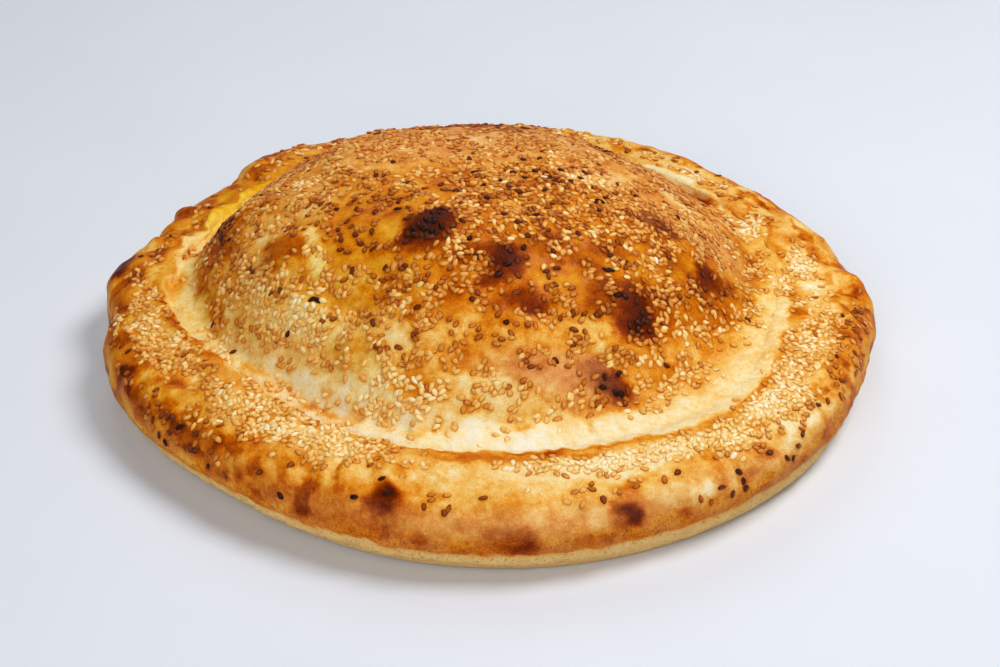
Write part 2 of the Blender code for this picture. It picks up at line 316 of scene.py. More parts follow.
# Small folds that run out across the pale ring, as angle, where they begin and end, half
# width and height.
RING_FOLDS = (
    (256, 92, 103, 0.9, 0.6), (263, 95, 108, 0.8, -0.5), (268, 94, 106, 1, 0.6),
    (274, 96, 110, 0.8, -0.5), (279, 95, 109, 1.1, 0.6), (285, 97, 113, 0.9, -0.6),
    (291, 96, 112, 1.2, 0.5), (299, 102, 118, 1, -0.5), (309, 103, 118, 1.3, 0.5),
    (322, 98, 114, 1.2, 0.6), (329, 98, 112, 1, -0.5), (341, 99, 109, 1.4, 0.8),
    (352, 101, 109, 1.2, 0.8), (5, 102, 110, 1.3, 0.8), (18, 102, 111, 1.2, 0.8),
    (198, 99, 106, 1.2, 0.9), (206, 97, 106, 1.1, -0.7), (214, 97, 105, 1.2, 0.8),
    (226, 95, 104, 1.1, 0.7), (236, 93, 104, 1, -0.6), (246, 92, 104, 1, 0.6),
    (186, 102, 112, 1.2, 0.9), (176, 104, 119, 1.4, -0.8),
)
# The rolled edge reaches in over the ring in tongues: angle, half width in degrees and how
# far it reaches in.
LIP_TONGUES = (
    (174, 2.2, 3.6), (182, 1.6, 1.2), (189, 2.4, 1.4), (196, 1.4, 1.2), (202, 1.6, 2.6),
    (209, 2, 2), (218, 2.4, 2.4), (232, 2, 1.6), (243, 2.2, 2.6), (252, 1.4, 1.4), (270, 3, 1.8),
    (283, 1.6, 1.2), (296, 2, 1.4), (312, 2.2, -1.6), (323, 2.2, 1), (334, 1.8, 1.2),
    (343, 1.8, 2), (352, 1.6, 2.2), (1, 1.8, 3), (11, 2, 2.4), (24, 2.4, 3), (38, 2.6, 2.4),
    (56, 3, 3), (76, 3, 2.6), (96, 3, 3), (118, 3, 2.4), (134, 2.4, 3.4), (146, 2, 3),
    (158, 2.2, 3.2), (166, 1.6, 2),
)
# At the front right and on the left the crease lies further out: angle, half width and how
# far.
CREASE_PUSHED = ((320, 12, 2.5), (190, 14, 2.0))
# Round the right, and a little at the front, the dome runs into the rim without a crease:
# angle, half width and how much dough fills the corner.
CREASE_FILLED = ((350, 24, 3.0), (20, 20, 3.0), (322, 20, 2.6), (272, 26, 0.8))
CORNER_SLOPE = 0.6
# Places along the section, from the crease: where the dome begins, as far out as the ring's
# own folds and seeds reach, and from where to where the rim has knobs and patches.
DOME_FOOT_ACROSS = -7.1
RING_REACHES = 12
RIM_FROM = 6
RIM_TO = 44
RIM_FADE = 6
# Bands along the section, each as its middle and its half width: the crease, where the lumps
# are lower, the wavy lip, its tongues, the crease that lies further out, the filled corner.
CREASE_BAND = (-1.0, 6.0)
LIP_BAND = (5.0, 2.4)
TONGUE_BAND = (6.0, 4.0)
PUSHED_BAND = (2.0, 7.0)
CORNER_BAND = (-1.0, 4.6)
LIP_WAVES = (0.8, 0.6)
LIP_RISE = 0.25
# The floured foot: where along the section the crust folds under, where that line lies higher
# or lower (angle, half width and how far), and how much the fold sinks and the foot stands out.
FOLD_UNDER = 45.4
FOLD_RISES = ((234, 20, 1.8), (262, 12, 1.0), (300, 10, -0.6), (200, 10, -0.8))
FOLD_DEPTH = 0.8
FOOT_FLARE = 0.7


def wrinkle_height(x, y):
    total = np.zeros(len(x))
    for x0, y0, x1, y1, half_width, rise in WRINKLES:
        length = math.hypot(x1 - x0, y1 - y0)
        along = ((x - x0) * (x1 - x0) + (y - y0) * (y1 - y0)) / length**2
        share = np.clip(along, 0, 1)
        off = np.hypot(x - x0 - share * (x1 - x0), y - y0 - share * (y1 - y0))
        total += rise * bell(off, half_width)
    return total


def band(place, middle, half_width):
    """Full in the middle of a band along the section, and fading out to both sides."""
    return bell(place - middle, half_width)


def two_noises(size, seeds):
    """Two unlike noises over the crust, side by side."""
    return np.stack([crumpled(places, size, 2, seed) for seed in seeds], axis=1)


wander = two_noises(WANDER[0], (3.1, 7.7))
small_wander = two_noises(SMALL_WANDER[0], (1.3, 5.9))
brush_x = places[:, 0] + WANDER[1] * wander[:, 0] + SMALL_WANDER[1] * small_wander[:, 0]
brush_y = places[:, 1] + WANDER[1] * wander[:, 1] + SMALL_WANDER[1] * small_wander[:, 1]
mark_x = brush_x + MARK_WANDER * small_wander[:, 1]
mark_y = brush_y - MARK_WANDER * small_wander[:, 0]
# Where the crust is clear of the table, and where the dome and the top of the rim are.
on_crust = ease((places[:, 2] - 3) / 6)
on_dome = ease((-2 - across) / 8)
on_rim = ease((across - RIM_FROM) / RIM_FADE) * ease((RIM_TO - across) / RIM_FADE)
lift = ROLLING[1] * crumpled(places, ROLLING[0], 2, 4.2) * (0.45 + 0.55 * on_dome)
small_lift = DENTS[1] * crumpled(places, DENTS[0], 2, 9.1)
lift += small_lift + PEBBLES[1] * crumpled(places, PEBBLES[0], 2, 2.4)
lift += RIM_KNOBS[1] * crumpled(places, RIM_KNOBS[0], 2, 5.5) * on_rim
lift *= on_crust * (1 - 0.5 * band(across, *CREASE_BAND))
lift += wrinkle_height(brush_x, brush_y) * ease((places[:, 2] - 20) / 4)
brush_away = np.hypot(brush_x, brush_y)
for fold_angle, fold_in, fold_out, half_width, rise in RING_FOLDS:
    off = degrees_apart(np.arctan2(brush_y, brush_x), fold_angle) * math.radians(1) * brush_away
    length = ease((brush_away - fold_in) / 3) * ease((fold_out - brush_away) / 3)
    lift += rise * bell(off, half_width) * length * (across < RING_REACHES)
# The lip is wavy, and its tongues reach in over the ring.
waves = LIP_WAVES[0] * wander[:, 1] + LIP_WAVES[1] * small_wander[:, 0] + LIP_RISE
lift += band(across, *LIP_BAND) * waves
reach = sum(far * bell(degrees_apart(angle, tongue), wide) for tongue, wide, far in LIP_TONGUES)
reach = (reach + small_wander[:, 1]) * band(across, *TONGUE_BAND)
reach -= push(angle, CREASE_PUSHED) * band(across, *PUSHED_BAND)
# Dough that fills the corner between the dome and the rim.
corner = push(angle, CREASE_FILLED) / CORNER_SLOPE
from_foot = across - DOME_FOOT_ACROSS
raised = CORNER_SLOPE * (np.hypot(from_foot, corner) - np.abs(from_foot)) * bell(from_foot, 24)
raised += 0.5 * corner * band(across, *CORNER_BAND)
# The ragged fold above the foot.
fold_under = FOLD_UNDER - push(angle, FOLD_RISES)
fold = across - fold_under + FOLD_WANDER[0] * wander[:, 0] + FOLD_WANDER[1] * small_wander[:, 1]
ragged = 1 + 0.9 * small_wander[:, 0] + 0.8 * wander[:, 1]
lift += -FOLD_DEPTH * bell(fold, 1.2) + FOOT_FLARE * ragged * bell(fold - 3.4, 2.4)
places = places + normals_of(crust_mesh) * lift[:, None]
places[:, 2] += raised
places[:, :2] *= (1 - reach / np.maximum(np.hypot(places[:, 0], places[:, 1]), 1))[:, None]
places[:, 2] = np.maximum(places[:, 2], 0)
crust_mesh.vertices.foreach_set("co", (places * MM).astype(np.float32).ravel())
crust_mesh.update()

# The ring of pale dough between the dome and the rim: angle, where it begins and ends, out
# from the middle, and how brown it is, from 0 for raw dough to 1 for charred.
PALE_RING = (
    (0, 105, 113, 0.25), (12, 103, 113, 0.24), (20, 104, 113, 0.32), (30, 103, 111, 0.22),
    (38, 102, 112, 0.14), (50, 99, 112, 0.1), (70, 100, 113, 0.1), (90, 101, 112, 0.14),
    (110, 101, 114, 0.16), (130, 105, 121, 0.2), (150, 110, 121.5, 0.19), (160, 111, 120.5, 0.14),
    (170, 109, 120, 0.12), (180, 106.5, 118, 0.19), (190, 103, 113, 0.17),
    (200, 100.5, 109.5, 0.14), (210, 97, 106, 0.14), (220, 94, 104, 0.14), (230, 91, 104, 0.09),
    (240, 89, 104.5, 0.07), (250, 90, 106, 0.08), (260, 91.5, 109, 0.08), (270, 92.5, 111, 0.05),
    (280, 94, 113, 0.04), (290, 98, 114, 0.09), (300, 100.5, 119, 0.09), (308, 102, 121.5, 0.13),
    (314, 103.5, 121, 0.14), (320, 102.5, 120, 0.14), (330, 102.5, 118, 0.17),
    (340, 103, 115, 0.18), (350, 103.5, 113, 0.16), (360, 105, 113, 0.25),
)
RING_STREAKS = (238, 30, 0.14)  # angle, half width and how brown
STREAK_SIZE = 6.5
RING_MOTTLE = 0.05
RING_OUTER_SOFTNESS = 2.2
# The ring's inner edge fades out over this far, and over more at the front right: angle, half
# width and how much more.
RING_SOFTNESS = 4
RING_SOFTER = ((322, 32, 6),)
# How far the oven browned the dome, as brush strokes seen from above: place, half length,
# half width, turn of the long side, and how brown. Each stroke covers those before it. First
# come the broad fields, which the ring then covers.
DOME_BROWN = 0.39
DOME_MOTTLE = (0.09, 0.08)
DOME_FIELDS = (
    (0, 34, 84, 38, 0, 0.32), (40, 30, 26, 16, -10, 0.32), (70, 14, 24, 30, 0, 0.34),
    (-58, 24, 16, 30, -20, 0.33), (-56, -6, 12, 10, 0, 0.31), (-76, 26, 6, 24, 0, 0.3),
    (-92, 18, 7, 20, 10, 0.46), (-94, -2, 6, 14, 15, 0.44), (-80, -6, 14, 10, -60, 0.29),
    # The strokes at (-74, -40) and (-62, -52), on the left lobe, are made a little paler as painted
    # light.
    (-84, -28, 12, 7, -55, 0.24), (-74, -40, 18, 10, -50, 0.21), (-62, -52, 16, 9, -40, 0.17),
    (-86, -48, 16, 5, -48, 0.15), (-70, -64, 18, 5, -40, 0.16), (-50, -66, 18, 8, -32, 0.16),
    (-42, -46, 12, 7, -30, 0.34), (-44, -26, 13, 11, -40, 0.45), (-34, -42, 12, 7, -20, 0.38),
    (-14, -10, 26, 12, 0, 0.4), (-4, -22, 9, 5, 0, 0.56), (40, 2, 16, 8, 0, 0.34),
    (-2, -34, 8, 10, 0, 0.42), (14, -22, 18, 12, 0, 0.43), (-12, -60, 20, 6, -5, 0.4),
    (-30, -69, 14, 6, -25, 0.24), (22, -42, 16, 7, -20, 0.54), (40, -46, 14, 8, 0, 0.51),
    (60, -50, 9, 5, 20, 0.54), (34, -70, 10, 5, 0, 0.3), (62, -76, 12, 4, 35, 0.22),
    (76, -62, 14, 4, 48, 0.22), (90, -44, 10, 4, 60, 0.26), (34, -52, 10, 4, 0, 0.42),
    (74, -46, 22, 10, 35, 0.48), (92, -16, 7, 24, 15, 0.36), (99, -4, 5, 16, 0, 0.37),
    (56, -28, 20, 11, 0, 0.51), (70, -64, 14, 5, 40, 0.36), (56, -74, 8, 4, 25, 0.34),
    (-45, -80, 18, 5.5, -28, 0.03), (-34, -72, 10, 3, -25, 0.22), (-16, -76, 14, 5, -12, 0.34),
    (2, -74, 16, 5, 0, 0.34), (-20, -88, 12, 3.4, -12, 0.44), (10, -88, 16, 3, 0, 0.2),
    (24, -80, 16, 4, -3, 0.36), (52, -72, 8, 3, 20, 0.44), (-60, 60, 24, 14, 40, 0.38),
    (40, 76, 26, 8, -25, 0.42), (-10, 84, 26, 8, 0, 0.52), (70, 24, 8, 5, 40, 0.48),
    (103, -24, 5, 14, 12, 0.16), (103, 22, 3, 12, -8, 0.24), (-2, -88, 24, 4.4, 0, 0.16),
    (27, -91, 8, 3, 0, 0.13), (18, -79, 14, 5, -4, 0.36), (28, -67, 6, 4, 0, 0.27),
    (36, -74, 8, 3, 0, 0.24), (20, -86, 5, 2.6, 0, 0.32), (-13, -45, 5, 4, 0, 0.58),
    (26, -4, 15, 5, 0, 0.48), (39, 1, 8, 4.5, 0, 0.16), (58, 11, 8, 4, 0, 0.22),
    (61, -52, 7, 5, 0, 0.64), (101, 3, 4.5, 9, 0, 0.58), (-20, -61, 8, 4, -20, 0.28),
    (-56, -6, 8, 5, 0, 0.22), (75, 13, 9, 5, 0, 0.18), (63, -30, 8, 5, 0, 0.6),
    (104, 24, 3.5, 7, 0, 0.17), (-46, -52, 6, 4, -20, 0.28), (-64, -54, 14, 5, -30, 0.13),
    (-72, -36, 6, 4, -55, 0.22), (-91, -32, 7, 5, -60, 0.18), (-38, -40, 6, 7, 0, 0.4),
    (-46, -36, 6, 7, 0, 0.43), (21, -20, 8, 4, 0, 0.32), (-46, -69, 8, 4.5, -25, 0.34),
    (-58, -73, 9, 4, -30, 0.22), (-28, -71, 8, 4.5, -25, 0.16), (-13, -87, 6, 2.6, 0, 0.28),
    (-101, -14, 4, 8, 0, 0.24),
)
# Then the marks, on the dome and on the ring: blisters that scorched, folds that stayed pale
# and drops of fat.
DOME_MARKS = (
    (-72, -22, 9, 6, -58, 0.54), (-66, -27, 5, 4, -58, 0.6), (-60, -24, 9, 2.6, -68, 0.16),
    (-57, -36, 7, 3, -74, 0.12), (-47, -46, 6, 2.6, -30, 0.24), (-97, 8, 8, 2.5, 100, 0.58),
    (-93, -2, 5, 2.5, 110, 0.52), (-114, 7, 3.4, 7, 0, 0.36), (-102, -6, 8, 1.6, 100, 0.5),
    (-96, -24, 12, 1.8, 105, 0.46), (-27, -37, 7, 4.5, 20, 0.58), (-17, -41, 8, 3, 10, 0.58),
    (-18, -33, 10.5, 9, 25, 0.8), (-17, -31, 8, 6.5, 25, 0.92), (-24, -36, 5, 4, 0, 0.9),
    (-31, -22, 5, 3, 30, 0.58), (-38, -18, 6, 3, 0, 0.54), (8, -49, 8, 7, 0, 0.72),
    (7, -51, 5.4, 4.8, 0, 0.92), (-4, -47, 8, 3.4, 5, 0.68), (4, -56, 5, 3, 0, 0.74),
    (14, -62, 10, 4.2, 5, 0.66), (18, -64, 5, 2.4, 0, 0.74), (24, -39, 7, 4, 30, 0.6),
    (42, -38, 8, 4, -10, 0.64), (-29, -53, 9, 2.2, -42, 0.46), (-22, -62, 5, 2.4, -35, 0.44),
    (48, -58, 11, 7.5, -25, 0.68), (53, -60, 7, 7, -40, 0.86), (55, -62, 4.5, 4.5, 0, 0.9),
    (40, -60, 5, 2.6, 0, 0.6), (64, -16, 8, 5.4, -30, 0.62), (66, -18, 4.4, 3.4, -30, 0.72),
    (81, -31, 9, 6.5, 30, 0.64), (80, -31, 6, 4.6, 30, 0.82), (88, -26, 6, 3, 60, 0.62),
    (99, -8, 2, 8, 5, 0.44), (88, 58, 7, 3, -50, 0.74), (96, -22, 2, 8, 12, 0.44),
    (46, 49, 5, 4, 0, 0.68), (46, 42, 5, 12, 0, 0.58), (0, 57, 24, 5, 0, 0.64),
    (8, 48, 14, 5, 0, 0.6), (36, -69, 6, 1.7, -10, 0.24), (42, -67.5, 3, 1.4, -14, 0.24),
    (34, -73, 5, 1.4, -30, 0.36), (38, -80, 6.5, 3.2, 0, 0.56), (45, -82.5, 7, 3.6, 12, 0.7),
    (44, -82, 4.6, 2.6, 12, 0.78), (50, -86, 4, 2, 30, 0.48), (-58, -79, 4.4, 1.8, -30, 0.44),
    (-52, -84, 3.4, 1.5, -30, 0.4), (-45, -88, 3, 1.4, -25, 0.3), (-3, -90, 3, 1.4, 0, 0.4),
    (-15, -94, 1.6, 1.6, 0, 0.42), (-21, -86, 9, 3.2, -14, 0.42), (13, -95, 4, 1.8, 0, 0.36),
    (35, -94, 1.1, 4.4, 3, 0.26), (-24, -96, 5, 1.6, -12, 0.26), (-80, -56, 8, 1.5, -45, 0.34),
    (-36, 78, 6, 4, 0, 0.8), (20, 70, 5, 5, 0, 0.72),
)
# The same for the rim, where a place is an angle and the way across from the crease, and
# the half lengths are in millimetres along and across the rim.
MM_PER_DEGREE = 2.35
RIM_WANDER = (1.2, 0.8)
ALONG_WANDER = (1.6, 0.8)
RIM_MOTTLE = (8.0, 0.11)
RIM_PATCHES = (6.5, 0.17)
PATCHES_FADE = (280, 36, 0.75)  # angle, half width and how much they fade there
RIM_STROKES = (
    # The thin dark strokes at 264, 276, 283 and 290 degrees, 4.4 to 5 across, are a painted shadow
    # under the lip's edge.
    (196, 17, 80, 15, 0.37), (315, 26, 26, 8, 0.27), (276, 4.6, 7, 0.8, 0.62),
    (283, 4.4, 6, 0.8, 0.66), (290, 4.8, 8, 0.8, 0.6), (264, 5, 10, 0.8, 0.52),
    (289, 14, 26, 6.5, 0.05), (300, 14, 18, 6, 0.11), (276, 14, 12, 6, 0.16),
    (262, 14, 14, 5, 0.2), (241, 15, 24, 6.5, 0.22), (228, 15, 22, 6.5, 0.3),
    # The stroke at 196 degrees, 15 across, darkens the left rim as painted shade.
    (320, 15, 34, 7, 0.2), (196, 15, 34, 7, 0.26), (236, 5, 44, 3.6, 0.22), (219, 4, 6, 1.2, 0.5),
    (238, 6, 8, 2, 0.48), (218, 22, 10, 4, 0.36), (206, 25, 16, 4, 0.36), (246, 23, 22, 3, 0.34),
    (272, 7.5, 26, 2, 0.46), (268, 8, 14, 1.4, 0.52), (281, 6, 6, 1.2, 0.66),
    (287, 7.5, 8, 1.2, 0.44), (299, 6.4, 16, 1.2, 0.42), (309, 9, 12, 2.4, 0.4),
    (322, 8, 16, 3.2, 0.46), (334, 8, 14, 3, 0.46), (347, 9, 12, 3.5, 0.42),
    (336, 6, 10, 2.6, 0.42), (346, 7, 12, 3.6, 0.5), (9, 4, 10, 2.5, 0.46), (20, 7, 12, 3, 0.5),
    (8, 6, 8, 2.4, 0.46), (33, 28, 14, 4, 0.52), (24, 23, 10, 5, 0.42), (20, 14, 8, 4, 0.3),
    (29, 18, 13, 2.6, 0.58), (16, 22, 4, 6, 0.28), (12, 26, 8, 4, 0.48), (4, 12, 13, 5.5, 0.05),
    (357, 14, 7, 4, 0.1), (9, 18, 12, 2.2, 0.54), (1, 23, 7, 4, 0.4), (0, 29, 7, 4, 0.64),
    (357, 27, 2, 6, 0.32), (52, 14, 26, 7, 0.24), (50, 25, 26, 5, 0.46), (80, 18, 40, 8, 0.34),
    (84, 28, 40, 6, 0.46), (118, 15, 20, 8, 0.42), (128, 24, 14, 6, 0.62), (136, 13, 14, 5, 0.5),
    (147, 20, 12, 6, 0.58), (158, 12, 16, 5, 0.42), (160, 22, 12, 5, 0.52),
    (171, 26, 10, 6, 0.78), (171, 16, 10, 5, 0.5), (178, 18, 8, 5, 0.52), (184, 15, 12, 6, 0.36),
    (192, 16, 18, 7, 0.27), (184, 27, 14, 6, 0.6), (198, 31, 16, 5, 0.56), (196, 22, 13, 3, 0.42),
    (203, 19, 9, 3, 0.38), (186, 4, 14, 2.4, 0.52), (196, 5, 14, 2.2, 0.58),
    (206, 5.5, 12, 2.2, 0.54), (214, 6, 7, 2, 0.36), (208.5, 19, 13, 3.6, 0.52),
    (211, 32, 6, 1.8, 0.62), (214.5, 28.5, 6, 2, 0.6), (221, 27, 6, 2.6, 0.62),
    (199, 30, 5, 3, 0.7), (196, 34, 16, 4, 0.34), (213, 14.5, 10, 3, 0.22), (160, 27, 6, 4, 0.74),
    (164, 8, 6, 2.6, 0.62), (153, 24, 8, 5, 0.62), (150, 12, 9, 4, 0.54), (168, 12, 9, 5, 0.54),
    (162, 16, 8, 5, 0.54), (156, 8.5, 12, 2.4, 0.58), (146, 8.5, 14, 2.4, 0.52),
    (142, 17, 30, 6, 0.5), (125, 18, 30, 7, 0.46), (193, 27, 10, 5, 0.46),
    (200.5, 28, 7, 3.6, 0.72), (201, 34, 8, 3, 0.5), (209, 30, 8, 3.4, 0.46),
    (218, 30, 12, 4, 0.64), (212, 35, 12, 4, 0.5), (227, 35, 16, 4, 0.52), (224, 27, 9, 4, 0.52),
    (232, 26, 10, 5, 0.46), (236, 33, 16, 6, 0.46), (250, 30, 9, 6, 0.48), (246, 31, 12, 6, 0.53),
    (255.8, 29.5, 8, 6, 0.54), (244.5, 29, 3.4, 7, 0.64), (244, 36, 4, 5, 0.64),
    (256.2, 29, 5.2, 5, 0.68), (255.7, 27, 4.6, 4.6, 0.88), (256, 24.5, 2.4, 2.6, 0.95),
    (261, 30, 10, 4, 0.42), (264, 24, 8, 5, 0.3), (261, 37.5, 14, 5, 0.54),
    (273.6, 38, 7.5, 5.5, 0.6), (275, 39.5, 4, 3.4, 0.76), (286, 27, 26, 4, 0.24),
    (262, 33, 12, 3, 0.4), (270, 32, 7, 3, 0.4), (282, 33, 6, 7, 0.38), (283, 40, 5, 2.4, 0.5),
    (288.7, 33.5, 5.2, 5, 0.66), (288.3, 31.5, 3.6, 2.6, 0.86), (289.8, 35.5, 3, 2.6, 0.8),
    (288, 34.5, 1.4, 2, 0.52), (297, 36.5, 3, 3, 0.58), (302, 30, 10, 4, 0.44),
    (308, 34, 10, 4, 0.38), (311, 28, 12, 3, 0.38), (318, 33, 9, 4, 0.3), (327, 29, 10, 4, 0.33),
    (336, 27, 12, 4, 0.46), (347, 30, 16, 6, 0.45), (356, 26, 8, 6, 0.54), (4, 26, 10, 5, 0.44),
    (246, 20, 6, 4, 0.14), (248, 20, 1.2, 4, 0.46), (266, 18, 8, 4, 0.22), (278, 22, 10, 5, 0.2),
    (314, 24, 8, 3.5, 0.16), (319, 23, 12, 4.5, 0.14), (266, 32, 6, 4, 0.35),
    (272.5, 36, 8, 3.6, 0.53), (280, 28, 9, 5, 0.28), (299, 22, 10, 3, 0.33),
    # The stroke at 300 degrees, 32.5 across, is kept pale as painted light where the face lies in
    # shade.
    (300, 32.5, 7, 4, 0.14), (304.5, 35, 5, 3, 0.28), (12, 12, 9, 4, 0.36), (12, 22, 8, 4, 0.36),
    (357, 20, 6, 4, 0.38), (206, 32, 7, 4, 0.64), (202, 26, 6, 3, 0.66), (227, 28, 8, 4, 0.54),
    (261, 23, 6, 3, 0.24), (273.5, 29, 4, 3, 0.42), (222, 32, 8, 4, 0.66), (306, 29, 10, 4, 0.36),
    (289.5, 26.5, 4, 4, 0.48), (294.5, 28.5, 5, 4, 0.22), (248, 36, 7, 3.6, 0.54),
    (251, 7, 7, 3, 0.42), (336, 11, 16, 4, 0.34), (320, 28, 12, 4, 0.14), (232, 24, 9, 4, 0.5),
    (225, 31, 8, 4, 0.58), (242, 23, 9, 4, 0.37), (256, 14, 8, 4, 0.39), (190, 20, 10, 4, 0.36),
    (198, 24, 9, 5, 0.5), (236, 18, 8, 4, 0.32), (210, 26, 7, 3.6, 0.28), (66, 36, 30, 4, 0.56),
    (104, 36, 26, 5, 0.6), (20, 36, 22, 4, 0.5),
)
# What lies under the rim's strokes: how brown it is from the crease, over the top and down
# the face to the foot.
RIM_BROWN = (
    (0, 0.46), (4, 0.42), (7, 0.34), (10, 0.27), (22, 0.26), (28, 0.325), (36, 0.41),
    (42.5, 0.50), (45, 0.42), (47, 0.24), (70, 0.16),
)
FOOT_BROWN = 0.26
# Flour dusts the lower face, thinly: from how far across, and how much at most.
DUST_FROM = 29
DUST_FADE = 13
DUST = 0.2


def ring_values(angle, column):
    """The ring's inner edge, outer edge or browning at an angle, by its column in the list."""
    turn = np.degrees(angle) % 360
    return np.interp(turn, [row[0] for row in PALE_RING], [row[column] for row in PALE_RING])


def ring_cover(x, y):
    """How much of a place belongs to the pale ring."""
    away, turn = np.hypot(x, y), np.arctan2(y, x)
    softness = RING_SOFTNESS + push(turn, RING_SOFTER)
    inside = ease((away - ring_values(turn, 1)) / softness + 0.5)
    return inside * ease((ring_values(turn, 2) - away) / RING_OUTER_SOFTNESS + 0.5)


def painted(values, strokes, x, y, crisp=STROKE_CRISP, cover=1.0):
    """These values with the strokes brushed over them, each one over those before it."""
    for stroke in strokes:
        values = values + (stroke[5] - values) * stroke_weight(x, y, stroke, crisp) * cover
    return values


# This browning also carries painted light and shade: a painted shadow under the lip, a darker left
# rim, a paler left lobe and painted shade round each seed.
bake_and_painted_shading = painted(np.full(len(places), DOME_BROWN), DOME_FIELDS, brush_x, brush_y)
mottle = DOME_MOTTLE[0] * wander[:, 0] + DOME_MOTTLE[1] * small_wander[:, 1]
bake_and_painted_shading += mottle * ease(bake_and_painted_shading / 0.3)
bake_and_painted_shading = painted(bake_and_painted_shading, DOME_MARKS, mark_x, mark_y, MARK_CRISP)
# The rim browned from the crease down to the foot, with its own strokes over that.
rim_across = across + RIM_WANDER[0] * wander[:, 0] + RIM_WANDER[1] * small_wander[:, 1]
rim_brown = np.interp(rim_across, *zip(*RIM_BROWN))
bake_and_painted_shading += (rim_brown - bake_and_painted_shading) * ease((across + 3) / 2.0)
for place_angle, place_across, half_along, half_across, brown in RIM_STROKES:
    along = degrees_apart(angle, place_angle) * MM_PER_DEGREE
    along = along + ALONG_WANDER[0] * wander[:, 1] + ALONG_WANDER[1] * small_wander[:, 0]
    spread = (along / half_along) ** 2 + ((rim_across - place_across) / half_across) ** 2
    bake_and_painted_shading += (brown - bake_and_painted_shading) * np.exp(-(spread**STROKE_CRISP)) * ease((across - 1) / 3)
# The pale ring covers the strokes under it, and the marks come over the ring once more.
ring = ring_cover(brush_x, brush_y) * ease((28 - across) / 4)
streak_angle, streak_spread, streak_brown = RING_STREAKS
streaks = ease((crumpled(places, STREAK_SIZE, 2, 12.4) - 0.02) / 0.4)
streaks *= bell(degrees_apart(angle, streak_angle), streak_spread)
ring_bake = ring_values(angle, 3) + streak_brown * streaks
ring_bake = ring_bake + 0.05 * small_wander[:, 0] + RING_MOTTLE * wander[:, 1]
bake_and_painted_shading += (np.maximum(ring_bake, 0) - bake_and_painted_shading) * ring
bake_and_painted_shading = painted(bake_and_painted_shading, DOME_MARKS, mark_x, mark_y, MARK_CRISP, ring)
# Mottling all over, patches on the rim, and the floured foot.
bake_and_painted_shading += 0.05 * wander[:, 0] * ease(bake_and_painted_shading / 0.3)
bake_and_painted_shading += RIM_MOTTLE[1] * crumpled(places, RIM_MOTTLE[0], 3, 14.2) * on_rim
patches = ease((crumpled(places, RIM_PATCHES[0], 3, 17.5) - 0.10) / 0.18) - 0.3
bake_and_painted_shading += RIM_PATCHES[1] * patches * on_rim * (1 - push(angle, (PATCHES_FADE,)))
foot_flour = ease((fold + 2.0) / 4.0)
dust = DUST * ease((rim_across - DUST_FROM) / DUST_FADE) * ease(0.5 + 1.2 * wander[:, 1])
dust *= ease((0.66 - bake_and_painted_shading) / 0.2)
bake_and_painted_shading += (FOOT_BROWN + 0.08 * small_wander[:, 0] - bake_and_painted_shading) * foot_flour

# Egg yolk gathered in the ring on the left and in patches on the dome and the rim, and the heat left
# rosy, matt places, most of them on the top; the rosy tan over the top of the dome is partly a
# painted sheen of light grazing it. The last value of a stroke is how yolky or how rosy it is, from 0
# to 1.
YOLK_STROKES = (
    (-104, 62, 26, 9, 60, 1), (-92, 82, 22, 8, 40, 1), (-115, 10, 9, 20, 0, 0.35),
    (-104, -24, 8, 24, 20, 0.2), (-72, -38, 20, 15, -50, 0.42), (-84, -50, 20, 7, -45, 0.12),
    (-40, -78, 26, 7, -20, 0.1), (60, -36, 34, 20, 30, 0.85), (-52, -69, 16, 8, -28, 0.5),
    (-101, -14, 7, 12, 0, 0.5), (-38, -34, 24, 24, 0, 0.72), (98, -12, 8, 24, 0, 0.45),
    (104, 26, 8, 24, 20, 0.35), (10, -96, 34, 6, 0, 0.1), (-126, -20, 16, 60, 0, 0.35),
    (-114, -66, 12, 30, 40, 0.35), (10, -40, 40, 16, 0, 0.45),
)
ROSE_STROKES = (
    # The first stroke, over the top of the dome, is partly painted sheen.
    (10, 40, 70, 26, 0, 0.9), (24, -82, 22, 5, -3, 0.85), (36, -81, 8, 5, 0, 0.95),
    (66, 4, 24, 14, 0, 0.45), (40, 4, 14, 8, 0, 0.95), (63, -15, 10, 7, 0, 1),
    (88, -4, 12, 10, 60, 0.6), (-17, -32, 12, 10, 0, 0.15), (8, -50, 9, 7, 0, 0.1),
    # The stroke at (-58, -73), at the front left of the dome's foot, is painted light: a warmer tone
    # that offsets the grey of the shade there.
    (-66, 10, 16, 10, -40, 0.3), (-58, -73, 22, 9, -35, 0.45),
)
# The front of the rim's face is rosy too: angle, half width, and how rosy.
FACE_ROSE = (284, 42, 0.6)
yolk = painted(np.zeros(len(places)), YOLK_STROKES, brush_x, brush_y)
rose = painted(np.zeros(len(places)), ROSE_STROKES, brush_x, brush_y)
rose_angle, rose_spread, face_rose = FACE_ROSE
on_face = ease((across - 24) / 8) * ease((39 - across) / 6)
rose += (face_rose - rose) * on_face * bell(degrees_apart(angle, rose_angle), rose_spread)
rose *= 1 - 0.6 * foot_flour


def keep_values(mesh, name, values):
    """Stores one value a vertex with the mesh, for its material to read."""
    layer = mesh.attributes.new(name, "FLOAT", "POINT")
    layer.data.foreach_set("value", values.astype(np.float32))


keep_values(crust_mesh, "yolk", yolk)
keep_values(crust_mesh, "rose", rose)
keep_values(crust_mesh, "flour", np.maximum(foot_flour, dust))
keep_values(crust_mesh, "specks", np.maximum(0.5 * foot_flour, 0.8 * bell(rim_across - 41, 5)))


def srgb(red, green, blue):
    """A colour picked on a screen, as the linear values that Blender's nodes take."""
    shares = [level / 255 for level in (red, green, blue)]
    linear = [((s + 0.055) / 1.055) ** 2.4 if s > 0.04 else s / 12.92 for s in shares]
    return (*linear, 1.0)


